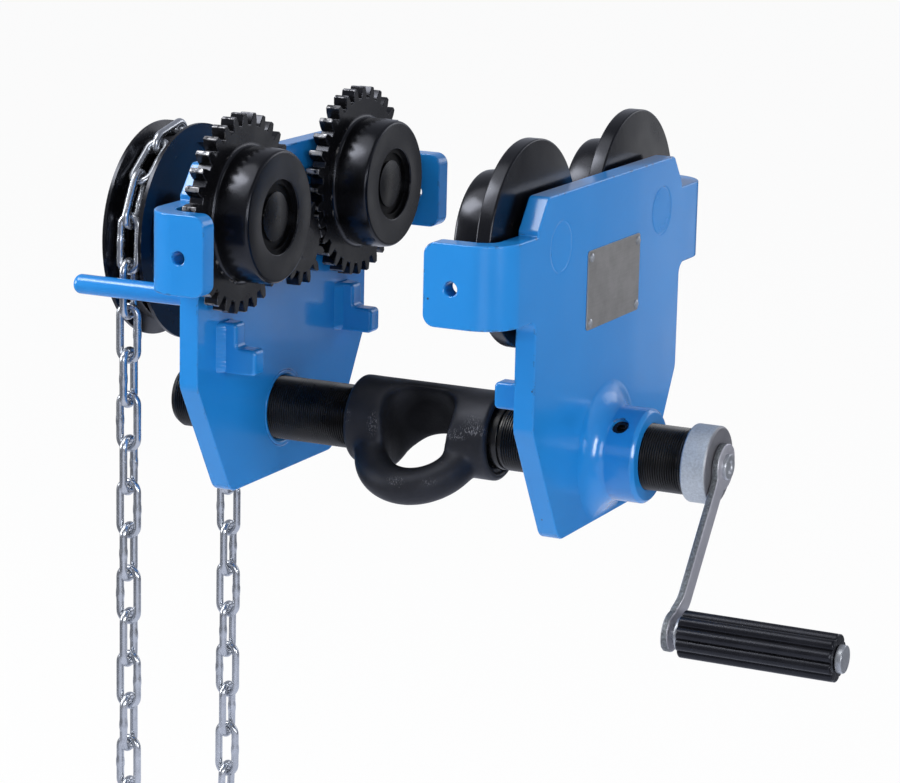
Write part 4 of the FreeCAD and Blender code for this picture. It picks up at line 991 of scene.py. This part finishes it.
def bead(stations, leg, bulge):
    """Rows of a fillet weld.

    Its stations hold a corner, ways a and b, the distance along the weld and a size.
    """
    points = []
    for corner, way_a, way_b, distance, size in stations:
        spot = corner * WANDER_SCALE
        wander_a = 1 + WANDER * noise.noise(spot)
        wander_b = 1 + WANDER * noise.noise(spot + WANDER_APART)
        ripple = 1 + RIPPLE * abs(math.sin(math.pi * distance / RIPPLE_PITCH))
        for step in range(BEAD_SECTION):
            share = step / (BEAD_SECTION - 1)
            rise = bulge * math.sin(math.pi * share)
            a = leg * size * ripple * ((1 - share) * wander_a + rise) - BEAD_BURY * share
            b = leg * size * ripple * (share * wander_b + rise) - BEAD_BURY * (1 - share)
            points.append(corner + way_a * a + way_b * b)
        points.append(corner - way_a * BEAD_BURY - way_b * BEAD_BURY)
    return points


def bead_faces(count, start, ring):
    """Quads along a bead, closed round its section, with caps if it has ends."""
    columns = BEAD_SECTION + 1
    faces = grid(count, columns, start, ring)
    if not ring:
        faces += fan(start, columns) + fan(start + (count - 1) * columns, columns)
    return faces


def ring_bead(name, y, z, radius, leg, steps, bulge=BEAD_BULGE):
    """A weld round a bar or tube that stands on the geared plate's outer face."""
    stations = []
    for step in range(steps):
        angle = 2 * math.pi * step / steps
        way = Vector((0, math.cos(angle), math.sin(angle)))
        corner = Vector((-PLATE_OUTSIDE, y, z)) + way * radius
        stations.append((corner, Vector((-1, 0, 0)), way, angle * radius, 1.0))
    points = bead(stations, leg, bulge)
    faces = bead_faces(steps, 0, True)
    piece(name, points, faces, WELD_PAINT, "geared_side", WELD_SHARP)


BOSS_STEPS = 200
COVE_RISE = 10.4 * MM
COVE_REACH = 14.2 * MM
PLATE_MARGIN = 1.4 * MM
LEAST_DROP = 0.01
for side, sign in SIDES:
    below = spindle_axis.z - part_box(f"{side}_side_plate")[0].z
    stations = []
    for step in range(BOSS_STEPS):
        angle = 2 * math.pi * step / BOSS_STEPS
        way = Vector((0, math.cos(angle), math.sin(angle)))
        reach = min(COVE_REACH, below / max(-way.z, LEAST_DROP) - BOSS_RADIUS - PLATE_MARGIN)
        corner = Vector((sign * PLATE_OUTSIDE, 0, spindle_axis.z)) + way * BOSS_RADIUS
        stations.append((corner, Vector((sign, 0, 0)), way, angle * BOSS_RADIUS, reach))
    points = cove(stations, COVE_RISE)
    faces = grid(BOSS_STEPS, COVE_SECTION + COVE_BURIED, ring=True)
    piece(f"{side}_boss_weld", points, faces, WELD_PAINT, f"{side}_side", WELD_SHARP)

HOUSING_WELD = 5.6 * MM
HOUSING_STEPS = 140
HOUSING_BULGE = 0.06
pinion_z = joints["pinion_spin"]["pos_m"][2]
ring_bead("pinion_housing_weld", 0, pinion_z, HOUSING_RADIUS, HOUSING_WELD, HOUSING_STEPS,
          HOUSING_BULGE)

GUIDE_WELD = 3.2 * MM
GUIDE_STEPS = 72
for end in ENDS:
    low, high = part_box(f"chain_guide_{end}")
    middle = (low + high) / 2
    ring_bead(f"chain_guide_{end}_weld", middle.y, middle.z, GUIDE_RADIUS, GUIDE_WELD, GUIDE_STEPS)

LUG_WELD = 4.6 * MM
LUG_BULGE = 0.03
LUG_MIDDLE = 74 * MM
LUG_HALF = 6 * MM
LUG_ROWS = 110
LUG_END = 3.5 * MM
LUG_END_SHARE = 0.25
for side, sign in SIDES:
    low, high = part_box(f"{side}_side_lugs")
    points, faces = [], []
    for middle in (-LUG_MIDDLE, LUG_MIDDLE):
        for away in (-1, 1):
            stations = []
            for row in range(LUG_ROWS):
                share = row / (LUG_ROWS - 1)
                z = low.z + (high.z - low.z) * share
                room = min((z - low.z) / LUG_END, (high.z - z) / LUG_END, 1.0)
                size = math.sqrt(1 - (1 - room) ** 2) * (1 - LUG_END_SHARE) + LUG_END_SHARE
                corner = Vector((sign * PLATE_INSIDE, middle + away * LUG_HALF, z))
                stations.append((corner, Vector((-sign, 0, 0)), Vector((0, away, 0)), z, size))
            faces += bead_faces(LUG_ROWS, len(points), False)
            points += bead(stations, LUG_WELD, LUG_BULGE)
    piece(f"{side}_lug_welds", points, faces, WELD_PAINT, f"{side}_side", WELD_SHARP)

# Wheels, with rounded corners and a fillet between tread and flange
FILLET = 3.2 * MM
CROWN = 1.1 * MM
CROWN_START_SHARE, CROWN_STEP_SHARE, CROWN_ROWS = 0.16, 0.06, 12
WHEEL_EDGE = 2.0 * MM
FLANGE_EDGE = 1.2 * MM
RECESS_EDGE = 0.8 * MM
SEAM = 0.02 * MM
crown = []
for row in range(CROWN_ROWS):
    share = CROWN_START_SHARE + CROWN_STEP_SHARE * row
    crown.append((
        FLANGE_FACE + (TREAD_END - FLANGE_FACE) * share,
        TREAD_RADIUS - CROWN * (2 * share - 1) ** 2,
        0,
    ))
tread_corners = [
    (FLANGE_FACE, TREAD_RADIUS - CROWN, FILLET),
    *crown,
    (TREAD_END, TREAD_RADIUS - CROWN, WHEEL_EDGE),
    (TREAD_END, BEARING_SEAT, RECESS_EDGE),
    (BEARING_BACK, BEARING_SEAT, 0),
    (BEARING_BACK, BEARING_SHOULDER, 0),
]
back_corners = {
    "plain": [
        (FLANGE_BACK, BEARING_SHOULDER, 0),
        (FLANGE_BACK, FLANGE_RADIUS, FLANGE_EDGE),
        (FLANGE_FACE, FLANGE_RADIUS, FLANGE_EDGE),
    ],
    "geared": [
        (FLANGE_BACK, BEARING_SHOULDER, 0),
        (FLANGE_BACK, TREAD_RADIUS, 0),
        (FLANGE_FACE + SEAM, TREAD_RADIUS, 0),
        (FLANGE_FACE + SEAM, TREAD_RADIUS + FILLET, 0),
    ],
}
for side, sign in SIDES:
    for end in ENDS:
        body = f"{side}_{end}_wheel"
        centre = Vector(joints[f"{body}_spin"]["pos_m"])
        corners = back_corners[side] + tread_corners
        turned_wheel = lathe(f"{body}_turned", corners, centre, sign, ENAMEL, body)
        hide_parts(body, *([f"{body}_rim"] if side == "plain" else []))

# Paint over the joint between plate and axle end, sunk a little
JOINT_REACH = 1.3 * MM
JOINT_RISE = 0.03 * MM
JOINT_DIP = 0.1 * MM
JOINT_BURY = 0.4 * MM
JOINT_LIP = 0.3 * JOINT_REACH
JOINT_STEPS = 120
joint_corners = [
    (PLATE_OUTSIDE - JOINT_BURY, AXLE_END_RADIUS - JOINT_REACH, 0),
    (PLATE_OUTSIDE + JOINT_RISE, AXLE_END_RADIUS - JOINT_REACH, 0),
    (PLATE_OUTSIDE + JOINT_RISE, AXLE_END_RADIUS - JOINT_LIP, 0),
    (PLATE_OUTSIDE - JOINT_DIP, AXLE_END_RADIUS, 0),
    (PLATE_OUTSIDE + JOINT_RISE, AXLE_END_RADIUS + JOINT_LIP, 0),
    (PLATE_OUTSIDE + JOINT_RISE, AXLE_END_RADIUS + JOINT_REACH, 0),
    (PLATE_OUTSIDE - JOINT_BURY, AXLE_END_RADIUS + JOINT_REACH, 0),
]
for side, sign in SIDES:
    for end in ENDS:
        centre = Vector(joints[f"{side}_{end}_wheel_spin"]["pos_m"])
        lathe(f"{side}_{end}_axle_paint", joint_corners, centre, sign, WELD_PAINT, f"{side}_side",
              JOINT_STEPS)


# Camera, floor and light
AZIMUTH = math.radians(25.65)
ELEVATION = math.radians(12.72)
ROLL = math.radians(1.31)
LENS = 126.844
CAMERA_TARGET = Vector((11.53 * MM, 0, -69 * MM))
CAMERA_DISTANCE = 1898.79 * MM
CAMERA_END = 50
FLOOR_SIZE = 30
FLOOR_DROP = 20 * MM
FLOOR_TONES = ((0.84, 0.84, 0.84), (0.86, 0.86, 0.86))
FLOOR_SEEN = 0.95
LANE_EDGES = (0.75, 0.35)
LANE_LEVELS = (0.18, 0.95)
WORLD_RAMPS = (("Z", 0.9, 0.05, 0.3, 0.6), ("Y", -0.7, 0.5, 0.5, 1.0))
SOFTBOXES = (
    # name, place, target, width, height, watts
    ("key", (-1.1, -0.84, 1.7), (0, 0, 0), 0.75, 0.75, 18),
    ("sky", (-0.95, -0.95, 2.2), (0, 0, 0), 2.2, 2.0, 24),
    ("left", (-1.95, -0.93, 0.45), (0, 0, -0.05), 0.8, 0.8, 24),
    ("front", (1.1, -1.9, 0.5), (0, 0, -0.05), 0.9, 0.8, 11),
    ("fill", (2.0, -0.78, 0.3), (0, 0, -0.05), 0.45, 0.7, 15),
    ("card", (0.34, 0.75, -0.06), (0.11, 0.09, -0.02), 0.12, 0.34, 0.08),
    ("rim", (0.9, 1.7, 0.6), (0, 0, 0), 0.9, 0.7, 3),
)


def aim(thing, place, back, roll=0.0):
    """Puts a camera or light at a place, looking along -back."""
    right = Vector((0, 0, 1)).cross(back).normalized()
    up = back.cross(right)
    across = right * math.cos(roll) + up * math.sin(roll)
    over = up * math.cos(roll) - right * math.sin(roll)
    thing.matrix_world = Matrix((
        (across.x, over.x, back.x, place.x),
        (across.y, over.y, back.y, place.y),
        (across.z, over.z, back.z, place.z),
        (0, 0, 0, 1),
    ))


back = Vector((
    math.sin(AZIMUTH) * math.cos(ELEVATION),
    -math.cos(AZIMUTH) * math.cos(ELEVATION),
    math.sin(ELEVATION),
))
camera = bpy.data.objects.new("camera", bpy.data.cameras.new("camera"))
bpy.context.scene.collection.objects.link(camera)
bpy.context.scene.camera = camera
camera.data.lens = LENS
camera.data.clip_end = CAMERA_END
aim(camera, CAMERA_TARGET + back * CAMERA_DISTANCE, back, ROLL)

floor_height = cad_box[0].z - FLOOR_DROP
bpy.ops.mesh.primitive_plane_add(size=FLOOR_SIZE, location=(0, 0, floor_height))
floor = bpy.context.object
floor.name = "floor"


def white_floor():
    """A pale floor that shows almost white and keeps the object's shadow.

    In reflections it is brightest in a lane through the object.
    """
    m = Nodes("floor")
    m.finish(m.mix(m.noise(3), *FLOOR_TONES), 0.8, Specular_IOR_Level=0.2)
    path = m.add("ShaderNodeLightPath")
    mirrored = m.math("MAXIMUM", path.outputs["Is Glossy Ray"], path.outputs["Is Transmission Ray"])
    direct = m.math("MULTIPLY", path.outputs["Is Camera Ray"], FLOOR_SEEN)
    seen = m.math("MAXIMUM", direct, mirrored)
    ways = [m.math("MULTIPLY", m.axis(0), math.cos(AZIMUTH)),
            m.math("MULTIPLY", m.axis(1), math.sin(AZIMUTH))]
    side = m.math("ABSOLUTE", m.math("ADD", *ways))
    lane = m.span(side, *LANE_EDGES, *LANE_LEVELS)
    glow = m.add("ShaderNodeEmission")
    m.feed(glow.inputs["Strength"], m.math("MAXIMUM", path.outputs["Is Camera Ray"], lane))
    m.feed(glow.inputs["Color"], m.mix(path.outputs["Is Camera Ray"], COOL[:3], (1, 1, 1)))
    blend = m.add("ShaderNodeMixShader")
    m.feed(blend.inputs[0], seen)
    m.feed(blend.inputs[1], m.shader.outputs[0])
    m.feed(blend.inputs[2], glow.outputs[0])
    m.feed(m.tree.nodes["Material Output"].inputs["Surface"], blend.outputs[0])
    return m.material


floor.data.materials.append(white_floor())


def studio():
    """Pale light all round, less from above and least from the front."""
    world = bpy.data.worlds.new("studio")
    world.use_nodes = True
    tree = world.node_tree
    way = tree.nodes.new("ShaderNodeTexCoord")
    split = tree.nodes.new("ShaderNodeSeparateXYZ")
    tree.links.new(way.outputs["Generated"], split.inputs[0])
    shares = []
    for axis, low, high, least, most in WORLD_RAMPS:
        node = tree.nodes.new("ShaderNodeMapRange")
        tree.links.new(split.outputs[axis], node.inputs["Value"])
        node.inputs["From Min"].default_value = low
        node.inputs["From Max"].default_value = high
        node.inputs["To Min"].default_value = least
        node.inputs["To Max"].default_value = most
        shares.append(node.outputs["Result"])
    level = tree.nodes.new("ShaderNodeMath")
    level.operation = "MULTIPLY"
    for socket, share in zip(level.inputs, shares):
        tree.links.new(share, socket)
    background = tree.nodes["Background"]
    background.inputs["Color"].default_value = COOL
    tree.links.new(level.outputs[0], background.inputs["Strength"])
    return world


bpy.context.scene.world = studio()


def softbox(name, place, target, width, height, power):
    """A large soft light."""
    lamp = bpy.data.objects.new(name, bpy.data.lights.new(name, "AREA"))
    bpy.context.scene.collection.objects.link(lamp)
    lamp.data.shape = "RECTANGLE"
    lamp.data.size, lamp.data.size_y = width, height
    lamp.data.energy = power
    aim(lamp, Vector(place), (Vector(place) - Vector(target)).normalized())


for box in SOFTBOXES:
    softbox(*box)

bpy.context.scene.view_settings.view_transform = "Standard"
